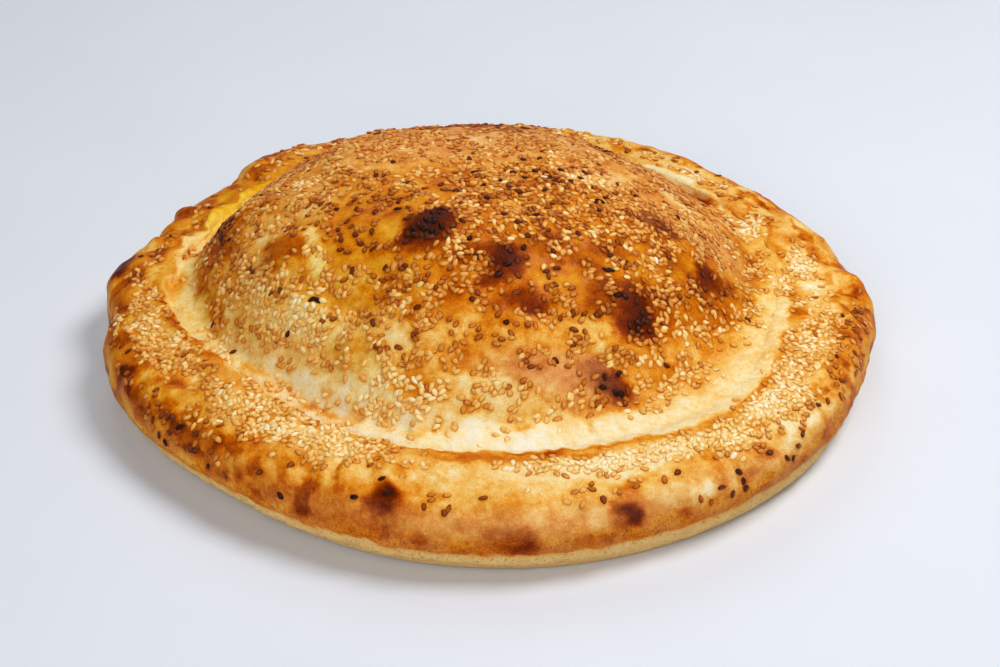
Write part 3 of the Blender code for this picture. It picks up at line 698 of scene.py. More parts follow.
def new_group(name, inputs, outputs):
    """A node group with these sockets, and its input and output nodes."""
    group = bpy.data.node_groups.new(name, "ShaderNodeTree")
    for socket_name, kind, default in inputs:
        socket = group.interface.new_socket(socket_name, in_out="INPUT", socket_type=kind)
        if default is not None:
            socket.default_value = default
    for socket_name, kind in outputs:
        group.interface.new_socket(socket_name, in_out="OUTPUT", socket_type=kind)
    return group, group.nodes.new("NodeGroupInput"), group.nodes.new("NodeGroupOutput")


def feed(tree, socket, value):
    """Sets a socket to a fixed value, or links it to another node's output."""
    if isinstance(value, (int, float, tuple)):
        socket.default_value = value
    else:
        tree.links.new(value, socket)


def math_node(tree, operation, first, second=None, clamp=False):
    node = tree.nodes.new("ShaderNodeMath")
    node.operation = operation
    node.use_clamp = clamp
    feed(tree, node.inputs[0], first)
    if second is not None:
        feed(tree, node.inputs[1], second)
    return node.outputs[0]


def mix_colour(tree, share, first, second):
    node = tree.nodes.new("ShaderNodeMix")
    node.data_type = "RGBA"
    feed(tree, node.inputs[0], share)
    feed(tree, node.inputs[6], first)
    feed(tree, node.inputs[7], second)
    return node.outputs[2]


def ramp_node(tree, share, stops):
    node = tree.nodes.new("ShaderNodeValToRGB")
    ramp = node.color_ramp
    ramp.interpolation = "LINEAR"
    while len(ramp.elements) < len(stops):
        ramp.elements.new(0.5)
    for element, (position, colour) in zip(ramp.elements, stops):
        element.position = position
        element.color = colour
    tree.links.new(share, node.inputs[0])
    return node.outputs[0]


def noise_node(tree, place, size, detail):
    """Noise whose features are about this many millimetres across."""
    node = tree.nodes.new("ShaderNodeTexNoise")
    node.inputs["Scale"].default_value = 1000.0 / size
    node.inputs["Detail"].default_value = detail
    tree.links.new(place, node.inputs["Vector"])
    return node.outputs["Fac"]


# Browning in small spots, on the crust and on the seeds alike: it varies the bake value.
tree, given, result = new_group(
    "Oven speckle",
    (
        ("Place", "NodeSocketVector", None),
        ("Bake", "NodeSocketFloat", 0.4),
        ("Amount", "NodeSocketFloat", 0.1),
    ),
    (("Bake", "NodeSocketFloat"), ("Grain", "NodeSocketFloat")),
)
speckle_group = tree
coarse = noise_node(tree, given.outputs["Place"], 2.2, 3.0)
fine = noise_node(tree, given.outputs["Place"], 0.6, 2.0)
coarse_half = math_node(tree, "MULTIPLY", coarse, 0.5)
both = math_node(tree, "ADD", coarse_half, math_node(tree, "MULTIPLY", fine, 0.5))
varied = math_node(tree, "SUBTRACT", both, 0.5)
varied = math_node(tree, "MULTIPLY", varied, given.outputs["Amount"])
varied = math_node(tree, "ADD", given.outputs["Bake"], varied, clamp=True)
tree.links.new(varied, result.inputs["Bake"])
tree.links.new(fine, result.inputs["Grain"])


def value_of(tree, name):
    """One of the values that keep_values stored with the mesh."""
    node = tree.nodes.new("ShaderNodeAttribute")
    node.attribute_name = name
    return node.outputs["Fac"]


def new_material(name):
    material = bpy.data.materials.new(name)
    material.use_nodes = True
    return material, material.node_tree, material.node_tree.nodes["Principled BSDF"]


def add_speckle(tree, place, value, amount):
    """Places the oven speckle in a material, on one of the mesh's values."""
    node = tree.nodes.new("ShaderNodeGroup")
    node.node_tree = speckle_group
    tree.links.new(place, node.inputs["Place"])
    tree.links.new(value_of(tree, value), node.inputs["Bake"])
    node.inputs["Amount"].default_value = amount
    return node


def add_bump(tree, shader, height, strength, distance):
    """Fine relief of the surface, this many metres deep."""
    bump = tree.nodes.new("ShaderNodeBump")
    bump.inputs["Strength"].default_value = strength
    bump.inputs["Distance"].default_value = distance
    tree.links.new(height, bump.inputs["Height"])
    tree.links.new(bump.outputs["Normal"], shader.inputs["Normal"])


# From raw dough to charred: the plain crust, where it is yolky, and where it is rosy.
CRUST_COLOURS = (
    (0.00, srgb(246, 238, 218)),
    (0.12, srgb(246, 223, 164)),
    (0.25, srgb(241, 188, 94)),
    (0.38, srgb(227, 145, 34)),
    (0.50, srgb(205, 104, 0)),
    (0.60, srgb(172, 74, 0)),
    (0.70, srgb(136, 50, 0)),
    (0.82, srgb(104, 30, 0)),
    (0.92, srgb(80, 24, 4)),
    (1.00, srgb(56, 20, 8)),
)
YOLK_COLOURS = (
    (0.00, srgb(250, 238, 168)),
    (0.12, srgb(242, 212, 84)),
    (0.25, srgb(230, 176, 24)),
    (0.50, srgb(204, 110, 0)),
    (0.70, srgb(136, 50, 0)),
    (1.00, srgb(54, 22, 10)),
)
ROSE_COLOURS = (
    (0.00, srgb(250, 236, 210)),
    (0.20, srgb(243, 202, 138)),
    (0.36, srgb(228, 158, 92)),
    (0.50, srgb(204, 122, 62)),
    (0.64, srgb(156, 82, 44)),
    (0.80, srgb(102, 50, 36)),
    (1.00, srgb(54, 26, 20)),
)
# The flour colour is a little darker than the flour, as painted shade along the foot.
FLOUR_AND_SHADE_COLOUR = srgb(218, 186, 130)
FLOUR_COVERS = 0.60
SPECK_COLOUR = srgb(74, 38, 16)
SPECKS_ABOVE = 0.635  # of the noise that they come from
CRUST_SPECKLE = 0.50
GOLDEN_BAKE = 0.52
WASH_SHINE = 0.09
crust_paint, tree, shader = new_material("baked_crust_egg_washed")
place = tree.nodes.new("ShaderNodeTexCoord").outputs["Object"]
speckle = add_speckle(tree, place, "bake_and_painted_shading", CRUST_SPECKLE)
browned_and_shaded = speckle.outputs["Bake"]
plain = ramp_node(tree, browned_and_shaded, CRUST_COLOURS)
yolky = ramp_node(tree, browned_and_shaded, YOLK_COLOURS)
rosy = ramp_node(tree, browned_and_shaded, ROSE_COLOURS)
colour = mix_colour(tree, value_of(tree, "yolk"), plain, yolky)
colour = mix_colour(tree, value_of(tree, "rose"), colour, rosy)
# The foot is dusted with flour, darkened a little as painted shade, and it and the lower face have
# tiny dark specks.
flour = value_of(tree, "flour")
speck = math_node(tree, "GREATER_THAN", noise_node(tree, place, 0.8, 1.0), SPECKS_ABOVE)
speck = math_node(tree, "MULTIPLY", speck, value_of(tree, "specks"))
colour = mix_colour(tree, math_node(tree, "MULTIPLY", flour, FLOUR_COVERS), colour, FLOUR_AND_SHADE_COLOUR)
colour = mix_colour(tree, math_node(tree, "MULTIPLY", speck, 0.8), colour, SPECK_COLOUR)
tree.links.new(colour, shader.inputs["Base Color"])
# Browned crust is smoother, and rosy or floured crust is more matt.
rough = math_node(tree, "SUBTRACT", 0.62, math_node(tree, "MULTIPLY", browned_and_shaded, 0.34))
rough = math_node(tree, "ADD", rough, math_node(tree, "MULTIPLY", value_of(tree, "rose"), 0.10))
rough = math_node(tree, "ADD", rough, math_node(tree, "MULTIPLY", flour, 0.2), clamp=True)
tree.links.new(rough, shader.inputs["Roughness"])
# The egg wash shines on golden brown crust, and neither on paler nor on darker crust.
coat = math_node(tree, "ABSOLUTE", math_node(tree, "SUBTRACT", browned_and_shaded, GOLDEN_BAKE))
coat = math_node(tree, "SUBTRACT", WASH_SHINE, coat, clamp=True)
tree.links.new(coat, shader.inputs["Coat Weight"])
shader.inputs["Coat Roughness"].default_value = 0.20
shader.inputs["Specular IOR Level"].default_value = 0.03
skin = math_node(tree, "MULTIPLY", speckle.outputs["Grain"], 0.4)
skin = math_node(tree, "ADD", noise_node(tree, place, 0.9, 3.0), skin)
add_bump(tree, shader, skin, 0.8, 0.0003)

crust_mesh.materials.append(crust_paint)
crust_mesh.shade_smooth()
crust = add_object("calzone_crust", crust_mesh)
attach(crust, "root")
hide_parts("calzone")

# ---------------------------------------------------------------------------------------
# Sesame seeds, strewn by hand on the wet egg wash before baking: flat drops 3 mm long that
# lie in beds on the rim and the dome. Those that stood up in the heat toasted brown.
# ---------------------------------------------------------------------------------------
SEED_SIZES = ((2.7, 3.6), (1.8, 2.3), (0.9, 1.2))  # length, width and thickness, each from and to
SEED_ROUND = 6
SEED_BANDS = 5
SEED_POINT = 0.5
SEED_SUNK = 0.44  # how much of the thickness sits in the crust
SEED_GAP = 0.95  # nearest that the ends of two seeds lie
SEED_ENDS = 0.72  # how far from its middle a seed's ends are kept clear
SEED_TILT = 0.15
SEED_TURNS = 4  # ways that a seed is turned to find room
SEED_CELL = 3  # side of the cells that neighbours are looked up in
SEED_DRAW = 20
SEED_TRIES = 2.6  # seeds dropped for each one that finds a place
SCORCHED_SHARE = 0.008
SCORCHED_MORE = 0.35
DOME_ABOVE = 20
BED_CRISP = 1.6
THICK_BED = 18
CLUMPS = (8.0, 1.5)  # size, and how sharply they end
CLUMP_TOAST = (12.0, 0.12)
RING_BARE = 0.95
RING_TOAST = 0.2
SEED_SPECKLE = 0.22
# How much darker a seed is at its ends and at its base: browning, with painted contact shade at the
# base.
SEED_EDGE_TOAST_AND_SHADE = 0.13
# Beds of seeds, on the dome and on the rim, with their places given as for the strokes. The
# last three values are how many lie on a square centimetre, how toasted they are, and how
# much that varies. Each bed covers those before it.
DOME_BEDS = (
    (0, 20, 120, 100, 0, 14, 0.35, 0.11), (0, 46, 84, 30, 0, 13, 0.37, 0.07),
    (-58, 14, 20, 26, 0, 14, 0.34, 0.1), (-62, 16, 12, 4, -20, 22, 0.24, 0.1),
    (-40, -26, 16, 20, 20, 3.2, 0.58, 0.1), (-60, -14, 10, 12, 30, 5, 0.44, 0.12),
    (-80, -32, 20, 9, -58, 27, 0.28, 0.12), (-70, -42, 10, 7, -50, 26, 0.3, 0.12),
    (-71, -24, 8, 5, -58, 1, 0.5, 0.1), (-58, -32, 9, 3, -70, 1.5, 0.3, 0.1),
    (-95, 15, 15, 6, 98, 27, 0.66, 0.13), (-93, -2, 6, 6, 98, 16, 0.5, 0.14),
    (-82, 4, 14, 8, 110, 16, 0.36, 0.12), (-62, -52, 14, 7, -38, 20, 0.18, 0.1),
    (-90, -40, 8, 4, -55, 16, 0.22, 0.08), (-50, -64, 12, 5, -32, 11, 0.28, 0.12),
    (-44, -44, 8, 5, -20, 6, 0.34, 0.14), (-30, -55, 12, 6, -42, 24, 0.46, 0.16),
    (-22, -64, 10, 5, -35, 18, 0.28, 0.14), (-42, -72, 10, 5, -28, 12, 0.3, 0.12),
    (-27, -84, 14, 5, -18, 20, 0.26, 0.12), (-12, -78, 10, 4, -12, 7, 0.36, 0.12),
    (-17, -33, 9, 8, 20, 5, 0.92, 0.06), (-3, -36, 6, 7, 0, 27, 0.33, 0.13),
    (22, -21, 8, 4, 0, 22, 0.3, 0.12), (18, -12, 30, 16, 0, 25, 0.42, 0.16),
    (24, 2, 22, 8, 0, 24, 0.42, 0.16), (46, 43, 5, 12, 0, 16, 0.6, 0.1),
    (0, 58, 24, 6, 0, 18, 0.58, 0.1), (16, -32, 18, 9, 0, 24, 0.4, 0.16),
    (27, -46, 8, 6, 10, 13, 0.42, 0.12), (8, -50, 6, 5, 0, 6, 0.9, 0.08),
    (12, -60, 18, 6, 0, 3, 0.48, 0.12), (-12, -52, 8, 5, 0, 6, 0.46, 0.12),
    (2, -72, 20, 6, 0, 3.6, 0.5, 0.12), (52, -18, 20, 18, 0, 24, 0.38, 0.12),
    (46, -40, 12, 8, 0, 15, 0.42, 0.16), (64, -17, 6, 4, -30, 2, 0.6, 0.1),
    (78, -6, 16, 20, 0, 21, 0.34, 0.1), (94, 8, 8, 30, 0, 16, 0.3, 0.1),
    (39, 1, 8, 4.5, 0, 18, 0.2, 0.1), (82, -30, 9, 8, 30, 4, 0.56, 0.1),
    (72, -44, 16, 6, 30, 11, 0.4, 0.12), (66, -58, 14, 5, 35, 16, 0.26, 0.1),
    (62, -72, 12, 7, 30, 15, 0.24, 0.1), (52, -61, 7, 6, 0, 6, 0.66, 0.1),
    (31, -68, 2.4, 7, 10, 14, 0.46, 0.1), (38, -63, 7, 1.6, 0, 15, 0.54, 0.1),
    (40, -74, 9, 2.4, 0, 14, 0.48, 0.1), (38, -68, 5, 2.4, 0, 1, 0.4, 0.1),
    (12, -84, 18, 5, 0, 4, 0.34, 0.14), (4, -86, 5, 3, 0, 16, 0.3, 0.12),
    (26, -88, 8, 3, 0, 7, 0.22, 0.08), (44, -82, 5, 3, 10, 4, 0.86, 0.1),
)
# Seeds that fell on the pale ring after the rest.
RING_BEDS = (
    (-33, -85, 7, 5, -10, 24, 0.16, 0.1), (-22, -89, 10, 4, -14, 22, 0.28, 0.1),
    (-13, -88, 6, 3, -10, 16, 0.2, 0.1), (-47, -84, 5, 2.6, -30, 12, 0.14, 0.08),
    (-56, -78, 6, 3, -34, 9, 0.2, 0.1), (-70, -68, 6, 3, -40, 10, 0.22, 0.1),
    (-92, -42, 9, 3.4, -58, 24, 0.2, 0.1), (-97, -30, 7, 2.4, -70, 16, 0.28, 0.1),
    (-104, -8, 6, 2, 95, 8, 0.48, 0.1), (-112, 24, 8, 3, 80, 6, 0.4, 0.12),
    (47, -92, 4, 2.4, 10, 12, 0.16, 0.08), (57, -87, 4, 2.6, 30, 14, 0.16, 0.08),
    (64, -79, 5, 3, 35, 18, 0.2, 0.08), (74, -70, 6, 4, 40, 18, 0.24, 0.08),
    (94, -40, 7, 4, 60, 18, 0.32, 0.12), (104, -20, 3, 6, 10, 5, 0.3, 0.1),
    (104, 6, 4, 10, 0, 14, 0.34, 0.12), (14, -91, 6, 2, 0, 10, 0.2, 0.08),
    (6, -97, 3, 2, 0, 8, 0.16, 0.08), (104, 36, 4, 10, -15, 27, 0.1, 0.08),
    (111, -8, 4, 8, 0, 20, 0.12, 0.08),
)
RIM_BEDS = (
    # The seeds of the beds at 192 and 203 degrees are toasted darker, partly as painted shade on the
    # left rim.
    (192, 15, 34, 8, 40, 0.28, 0.09), (184, 24, 12, 6, 13, 0.24, 0.12),
    (203, 15, 18, 7, 40, 0.28, 0.09), (200, 8, 30, 2.4, 6, 0.3, 0.12),
    (217, 12, 14, 4.5, 10, 0.14, 0.08), (213, 17, 9, 5, 2, 0.3, 0.1),
    (228, 13, 26, 8, 44, 0.2, 0.08), (241, 11, 22, 8, 46, 0.15, 0.08),
    (250, 8, 14, 6, 36, 0.22, 0.1), (258, 11, 10, 3, 7, 0.14, 0.08),
    (262, 22, 10, 4, 2.2, 0.5, 0.14), (278, 11, 16, 2.6, 12, 0.12, 0.08),
    (289, 13, 22, 4.5, 32, 0.08, 0.06), (300, 14, 20, 5.5, 34, 0.08, 0.06),
    (311, 17, 22, 8, 36, 0.1, 0.08), (322, 16, 22, 9, 34, 0.12, 0.09),
    (333, 14, 20, 7.5, 29, 0.16, 0.1), (343, 16, 20, 6.5, 22, 0.14, 0.1),
    (20, 5, 12, 3, 22, 0.1, 0.08), (352, 13, 14, 5, 6, 0.22, 0.12),
    (4, 11, 12, 4.5, 40, 0.06, 0.05), (338, 29, 22, 4, 5, 0.55, 0.12),
    (348, 27, 22, 5, 4.5, 0.52, 0.14), (290, 24, 30, 3, 1.2, 0.4, 0.16),
    (218, 31, 20, 4, 6, 0.6, 0.1), (200, 27, 20, 4, 4, 0.5, 0.16),
    (222, 24, 16, 4, 5, 0.32, 0.16), (40, 14, 34, 6, 10, 0.26, 0.14),
    (80, 14, 46, 6, 12, 0.26, 0.14), (120, 14, 40, 6, 10, 0.28, 0.14),
    (155, 14, 26, 5, 6, 0.34, 0.16), (100, 28, 60, 5, 2.5, 0.55, 0.14),
    (172, 14, 10, 5, 12, 0.5, 0.16), (209, 18, 12, 4, 1, 0.3, 0.1),
)
# Single seeds on the dome, most of them dark because they stood up in the heat: place and how
# toasted. The last five are pale ones on the ring.
DARK_SEEDS = (
    (-32, 16, 0.8), (-38, 6, 0.78), (-4, 15, 0.8), (16, 12, 0.9), (22, 13, 0.85), (29, 5, 0.9),
    (12, 1, 0.9), (20, 2, 0.95), (25, -2, 0.85), (33, -3, 0.9), (36, 1, 0.85), (38, 5, 0.8),
    (16, -3, 0.85), (7, -5, 0.9), (27, -4, 0.8), (40, -5, 0.8), (41, -13, 1), (43, -12, 1),
    (42, -18, 0.8), (1, -9, 1), (10, -10, 0.8), (14, -14, 0.8), (23, -11, 0.85), (45, -9, 0.9),
    (-14, -6, 0.75), (-27, -3, 0.75), (-9, -12, 0.78), (-37, -19, 0.72), (-29, -20, 1),
    (-44, -15, 0.72), (19, -27, 1), (9, -28, 0.78), (13, -33, 0.78), (-6, -32, 0.8), (-4, -40, 1),
    (-38, -30, 0.7), (-42, -33, 0.7), (-49, -29, 0.7), (-45, -43, 0.72), (-33, -45, 0.72),
    (-26, -47, 0.74), (15, -45, 1), (25, -43, 0.78), (9, -52, 1), (6, -55, 0.9), (-1, -49, 0.85),
    (43, -48, 1), (45, -47, 1), (26, -50, 0.74), (49, -57, 0.9), (-22, -64, 0.74),
    (-37, -64, 0.7), (-3, -63, 0.75), (72, -3, 0.9), (94, -37, 0.8), (50, -42, 0.72),
    (64, -51, 0.74), (63, -70, 0.74), (46, -78, 0.9), (-57, -49, 0.95), (-59, -48, 0.95),
    (-68, -53, 0.8), (-55, -56, 0.6), (-51, -56, 0.56), (-71, -39, 0.7), (-89, -45, 0.7),
    (-50, -24, 0.7), (-50, -27, 0.68), (-49, -33, 0.7), (31, -64, 0.66), (35, -63, 0.64),
    (40, -63, 0.66), (31, -69, 0.64), (31, -73, 0.66), (-12, -97, 0.18), (-10, -95, 0.24),
    (8, -96, 0.22), (8, -100, 0.18), (-31, -93, 0.16),
)
# Seeds that lie alone on the rim's face: angle, way across, and how toasted.
LONE_SEEDS = (
    (255, 20.4, 0.96), (256.2, 24.6, 0.98), (251.7, 28, 0.98), (240.6, 34.6, 1),
    (262.4, 22.5, 0.48), (261.6, 27.6, 0.62), (264.8, 23, 0.4), (264.6, 28.4, 0.62),
    (265, 27, 0.58), (269.9, 23.5, 0.6), (276, 22, 0.15), (285.8, 27, 0.62), (281, 26, 0.3),
    (283, 27, 0.34), (302.6, 33.4, 0.72), (304, 37, 0.74), (305.8, 30.8, 0.84),
    (306.1, 34.6, 0.86), (306.3, 37.6, 0.8), (300.6, 37, 0.56), (299.2, 34.6, 0.58),
    (295, 25.4, 0.5), (311.5, 30.6, 0.72), (314, 34.6, 0.78), (315.4, 36.4, 0.78),
    (316.8, 33.8, 0.66), (318.4, 31.6, 0.7), (325, 27.6, 0.72), (217, 37.6, 0.92),
    (226.2, 37, 0.9), (213, 33.4, 0.7), (222, 28.8, 0.72), (223.4, 33.4, 0.74),
    (215.2, 36.6, 0.74), (236, 30, 0.66), (230, 36, 0.6),
)


def corners_of(mesh):
    """The numbers of the three vertices of each of the mesh's triangles."""
    mesh.calc_loop_triangles()
    corners = np.empty(len(mesh.loop_triangles) * 3, np.int32)
    mesh.loop_triangles.foreach_get("vertices", corners)
    return corners.reshape(-1, 3)


triangles = corners_of(crust_mesh)
corner_places = places[triangles]
sides = corner_places[:, 1:] - corner_places[:, :1]
cross = np.cross(sides[:, 0], sides[:, 1])
areas = np.linalg.norm(cross, axis=1) / 2
middles = corner_places.mean(axis=1)
middle_across = across[triangles].mean(axis=1)
middle_angle = np.arctan2(middles[:, 1], middles[:, 0])
middle_bake_and_shading = bake_and_painted_shading[triangles].mean(axis=1)
clumps = ease(0.5 + CLUMPS[1] * crumpled(middles, CLUMPS[0], 3, 6.6))

density = np.zeros(len(middles))
toast = np.full(len(middles), 0.4)
toast_spread = np.full(len(middles), 0.12)
bare = ring_cover(middles[:, 0], middles[:, 1]) * (middle_across < RING_REACHES)


def lay_bed(weight, bed):
    """Covers what lies under a bed of seeds with the bed's own three values."""
    for field, value in zip((density, toast, toast_spread), bed[-3:]):
        field += (value - field) * weight


for bed in DOME_BEDS:
    lay_bed(stroke_weight(middles[:, 0], middles[:, 1], bed) * (middle_across < 0), bed)
for bed in RIM_BEDS:
    place_angle, place_across, half_along, half_across = bed[:4]
    along = degrees_apart(middle_angle, place_angle) * MM_PER_DEGREE / half_along
    spread = along**2 + ((middle_across - place_across) / half_across) ** 2
    lay_bed(np.exp(-(spread**BED_CRISP)) * (middle_across > 3), bed)
# Few seeds fell into the ring.
density *= 1 - RING_BARE * bare
toast += (RING_TOAST - toast) * bare
for bed in RING_BEDS:
    weight = stroke_weight(middles[:, 0], middles[:, 1], bed)
    lay_bed(weight * (middle_across < RING_REACHES), bed)
# Thick beds are nearly even, and thin ones lie in clumps.
density *= np.where(density > THICK_BED, 0.6 + 0.6 * clumps, 0.08 + 1.7 * clumps**2)
toast += CLUMP_TOAST[1] * crumpled(middles, CLUMP_TOAST[0], 2, 8.3)
chance = density * areas
draw = np.random.default_rng(SEED_DRAW)
target = int(chance.sum() / 100)
picked = draw.choice(len(middles), size=int(SEED_TRIES * target), p=chance / chance.sum())

taken = {}
NEAR_CELLS = [(dx, dy, dz) for dx in (-1, 0, 1) for dy in (-1, 0, 1) for dz in (-1, 0, 1)]


def free_spot(point, direction):
    """True if a seed with this middle and long side has room, which it then takes."""
    ends = [point + direction * (SEED_ENDS * side) for side in (-1, 1)]
    cells = [tuple((end // SEED_CELL).astype(int)) for end in ends]
    for end, cell in zip(ends, cells):
        for dx, dy, dz in NEAR_CELLS:
            for other in taken.get((cell[0] + dx, cell[1] + dy, cell[2] + dz), ()):
                if np.dot(end - other, end - other) < SEED_GAP**2:
                    return False
    for end, cell in zip(ends, cells):
        taken.setdefault(cell, []).append(end)
    return True


def lie_of(normal, yaw):
    """Long side, short side and outward side of a seed that lies on a surface."""
    side = np.cross(normal, (0.0, 0.0, 1.0) if abs(normal[2]) < 0.9 else (1.0, 0.0, 0.0))
    side = side / np.linalg.norm(side)
    other = np.cross(normal, side)
    long_side = math.cos(yaw) * side + math.sin(yaw) * other
    return long_side, np.cross(normal, long_side), normal


seeds = []


def lay_seed(face, point, brown, must=False):
    """Lays a seed on a face, turned until it finds room, or in any case if it must lie there."""
    normal = cross[face] / np.linalg.norm(cross[face])
    for _ in range(SEED_TURNS):
        yaw = draw.uniform(0, 2 * math.pi)
        tilted = normal + draw.normal(0, SEED_TILT, 3)
        tilted = tilted / np.linalg.norm(tilted)
        lie = lie_of(tilted, yaw)
        if free_spot(point, lie[0]) or must:
            seeds.append((point, lie, brown))
            return


for dark_x, dark_y, brown in DARK_SEEDS:
    off = np.hypot(middles[:, 0] - dark_x, middles[:, 1] - dark_y)
    face = int(np.argmin(np.where(middles[:, 2] < DOME_ABOVE, np.inf, off)))
    lay_seed(face, middles[face], brown, must=True)
for lone_angle, lone_across, brown in LONE_SEEDS:
    off = np.abs(degrees_apart(middle_angle, lone_angle)) * MM_PER_DEGREE
    face = int(np.argmin(off + np.abs(middle_across - lone_across)))
    lay_seed(face, middles[face], brown, must=True)
for face in picked:
    share = draw.dirichlet((1, 1, 1))
    point = (corner_places[face] * share[:, None]).sum(axis=0)
    brown = toast[face] + draw.normal(0, 0.8) * toast_spread[face]
    brown += 0.45 * max(middle_bake_and_shading[face] - 0.5, 0)
    if draw.random() < SCORCHED_SHARE:
        brown += SCORCHED_MORE
    lay_seed(face, point, float(np.clip(brown, 0, 1)))


def seed_template():
    """Points and faces of a drop one unit long, wide and thick."""
    points = [(-0.5, 0.0, 0.0)]
    for band in range(1, SEED_BANDS):
        t = math.pi * band / SEED_BANDS
        x = -0.5 * math.cos(t)
        half = 0.5 * math.sin(t) * (1 - SEED_POINT * x)
        for step in range(SEED_ROUND):
            a = 2 * math.pi * step / SEED_ROUND
            points.append((x, half * math.cos(a), half * math.sin(a)))
    points.append((0.5, 0.0, 0.0))
    faces = [(0, 1 + (i + 1) % SEED_ROUND, 1 + i) for i in range(SEED_ROUND)]
    for band in range(SEED_BANDS - 2):
        first = 1 + band * SEED_ROUND
        for i in range(SEED_ROUND):
            j = (i + 1) % SEED_ROUND
            faces.append((first + i, first + j, first + SEED_ROUND + j, first + SEED_ROUND + i))
    last = 1 + (SEED_BANDS - 2) * SEED_ROUND
    faces += [(last + i, last + (i + 1) % SEED_ROUND, len(points) - 1) for i in range(SEED_ROUND)]
    return np.array(points), faces


seed_points, seed_faces = seed_template()
# Fat browned each seed most where it met the crust, and at its ends; the dark base is partly painted
# contact shade where the seed sits in the crust.
seed_base_browning_and_shade = ease((0.28 - seed_points[:, 2]) / 0.3)
seed_tips = ease(2 * np.abs(seed_points[:, 0]) - 0.2)
seed_edge_browning_and_shade = np.maximum(seed_base_browning_and_shade, seed_tips) - 0.15


def join_seeds(name, laid):
    """One mesh of all these seeds, each with its own size, its own browning and painted contact shade
    at its base.
    """
    all_points, all_faces, all_toast_and_shade = [], [], []
    for number, (point, lie, brown) in enumerate(laid):
        size = [draw.uniform(low, high) for low, high in SEED_SIZES]
        local = seed_points * size
        up = size[2] * (0.5 - SEED_SUNK)
        world = point + local @ np.array(lie) + lie[2] * up
        all_points.append(world)
        start = number * len(seed_points)
        all_faces += [tuple(start + i for i in face) for face in seed_faces]
        scorch_and_shade = SEED_EDGE_TOAST_AND_SHADE * seed_edge_browning_and_shade + draw.normal(0, 0.02, len(seed_points))
        all_toast_and_shade.append(np.clip(brown + scorch_and_shade, 0, 1))
    mesh = bpy.data.meshes.new(name)
    mesh.from_pydata(np.concatenate(all_points) * MM, [], all_faces)
    mesh.update()
    keep_values(mesh, "toast", np.concatenate(all_toast_and_shade))
    mesh.shade_smooth()
    return mesh


def seed_finish(name, roughness, shine):
    """The skin of one kind of seed, coloured by how toasted each seed is, with the painted contact
    shade at its base.
    """
    material, tree, shader = new_material(name)
    place = tree.nodes.new("ShaderNodeTexCoord").outputs["Object"]
    speckle = add_speckle(tree, place, "toast", SEED_SPECKLE)
    colour = ramp_node(tree, speckle.outputs["Bake"], SEED_COLOURS)
    tree.links.new(colour, shader.inputs["Base Color"])
    rough = math_node(tree, "MULTIPLY", speckle.outputs["Grain"], 0.2)
    rough = math_node(tree, "ADD", roughness, rough)
    tree.links.new(rough, shader.inputs["Roughness"])
    shader.inputs["Specular IOR Level"].default_value = shine
    shader.inputs["Coat Weight"].default_value = 0.25 * shine
    shader.inputs["Coat Roughness"].default_value = 0.3
    add_bump(tree, shader, speckle.outputs["Grain"], 0.3, 0.0001)
    return material


SEED_COLOURS = (
    (0.00, srgb(252, 236, 196)),
    (0.12, srgb(250, 220, 150)),
    (0.25, srgb(240, 186, 90)),
    (0.38, srgb(224, 148, 48)),
    (0.50, srgb(190, 102, 20)),
    (0.62, srgb(142, 64, 10)),
    (0.76, srgb(92, 38, 12)),
    (0.90, srgb(60, 25, 12)),
    (1.00, srgb(42, 19, 11)),
)
# Each kind's name, from and to how toasted, its roughness and its shine.
SEED_KINDS = (
    ("sesame_pale", -1.0, 0.22, 0.34, 0.34),
    ("sesame_golden", 0.22, 0.38, 0.32, 0.32),
    ("sesame_amber", 0.38, 0.48, 0.30, 0.26),
    ("sesame_toasted", 0.48, 2.0, 0.30, 0.10),
)
for name, least, most, roughness, shine in SEED_KINDS:
    laid = [seed for seed in seeds if least <= seed[2] < most]
    mesh = join_seeds(name, laid)
    mesh.materials.append(seed_finish(name + "_skin", roughness, shine))
    piece = add_object(name, mesh)
    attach(piece, "root")
    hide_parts("calzone")

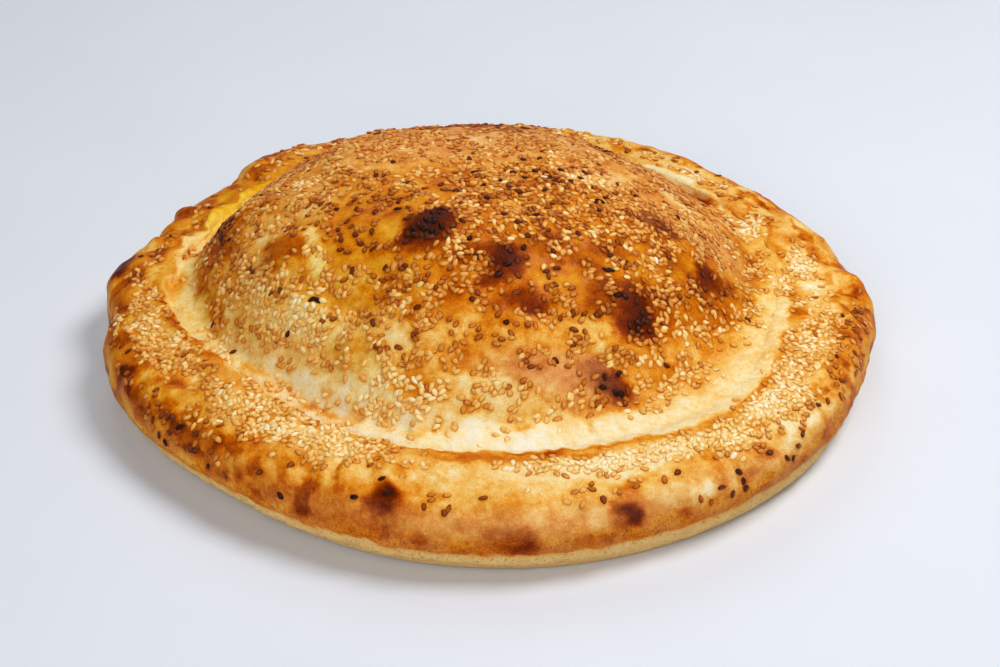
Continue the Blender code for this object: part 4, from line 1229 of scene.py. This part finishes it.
# Fat from the seeds browned the crust round each of them; the darkening there is partly that browning
# and partly painted contact shade round each seed.
near = KDTree(len(seeds))
for number, seed in enumerate(seeds):
    near.insert(seed[0], number)
near.balance()
nearest = [near.find(point)[1:] for point in places]
to_seed = np.array([far for number, far in nearest])
halo_browning_and_shade = 0.05 + 0.20 * np.array([seeds[number][2] for number, far in nearest])
bake_and_painted_shading += halo_browning_and_shade * bell(to_seed, 2.0) * np.clip(1.2 - bake_and_painted_shading * 1.2, 0, 1)
keep_values(crust_mesh, "bake_and_painted_shading", np.clip(bake_and_painted_shading, 0, 1))

# ---------------------------------------------------------------------------------------
# The table is plain and pale. Three wide soft lights stand over it, in front and behind, as
# in a small studio.
# ---------------------------------------------------------------------------------------
TABLE_HALF = 3.0
table_mesh = bpy.data.meshes.new("table")
signs = ((-1, -1), (1, -1), (1, 1), (-1, 1))
table_corners = [(x * TABLE_HALF, y * TABLE_HALF, 0.0) for x, y in signs]
table_mesh.from_pydata(table_corners, [], [(0, 1, 2, 3)])
table_paint, tree, shader = new_material("table_white")
place = tree.nodes.new("ShaderNodeTexCoord").outputs["Object"]
grain = noise_node(tree, place, 90.0, 2.0)
colour = mix_colour(tree, grain, srgb(226, 231, 240), srgb(232, 236, 243))
tree.links.new(colour, shader.inputs["Base Color"])
shader.inputs["Roughness"].default_value = 0.6
table_mesh.materials.append(table_paint)
table = add_object("table", table_mesh)

world = bpy.data.worlds.new("studio")
scene.world = world
world.use_nodes = True
backdrop = world.node_tree.nodes["Background"]
backdrop.inputs["Color"].default_value = (0.93, 0.96, 1.0, 1.0)
backdrop.inputs["Strength"].default_value = 0.16


def soft_light(name, place, size, power):
    """A round light that faces the middle of the table."""
    light = bpy.data.lights.new(name, "AREA")
    light.shape = "DISK"
    light.size = size
    light.energy = power
    thing = add_object(name, light)
    thing.location = place
    thing.rotation_euler = (-Vector(place)).to_track_quat("-Z", "Y").to_euler()


soft_light("over_table", (0.60, 0.05, 1.05), 0.6, 9.7)
soft_light("front_fill", (-0.34, -1.24, 0.82), 1.0, 9.3)
soft_light("behind", (-0.20, 1.0, 1.0), 0.8, 3.1)
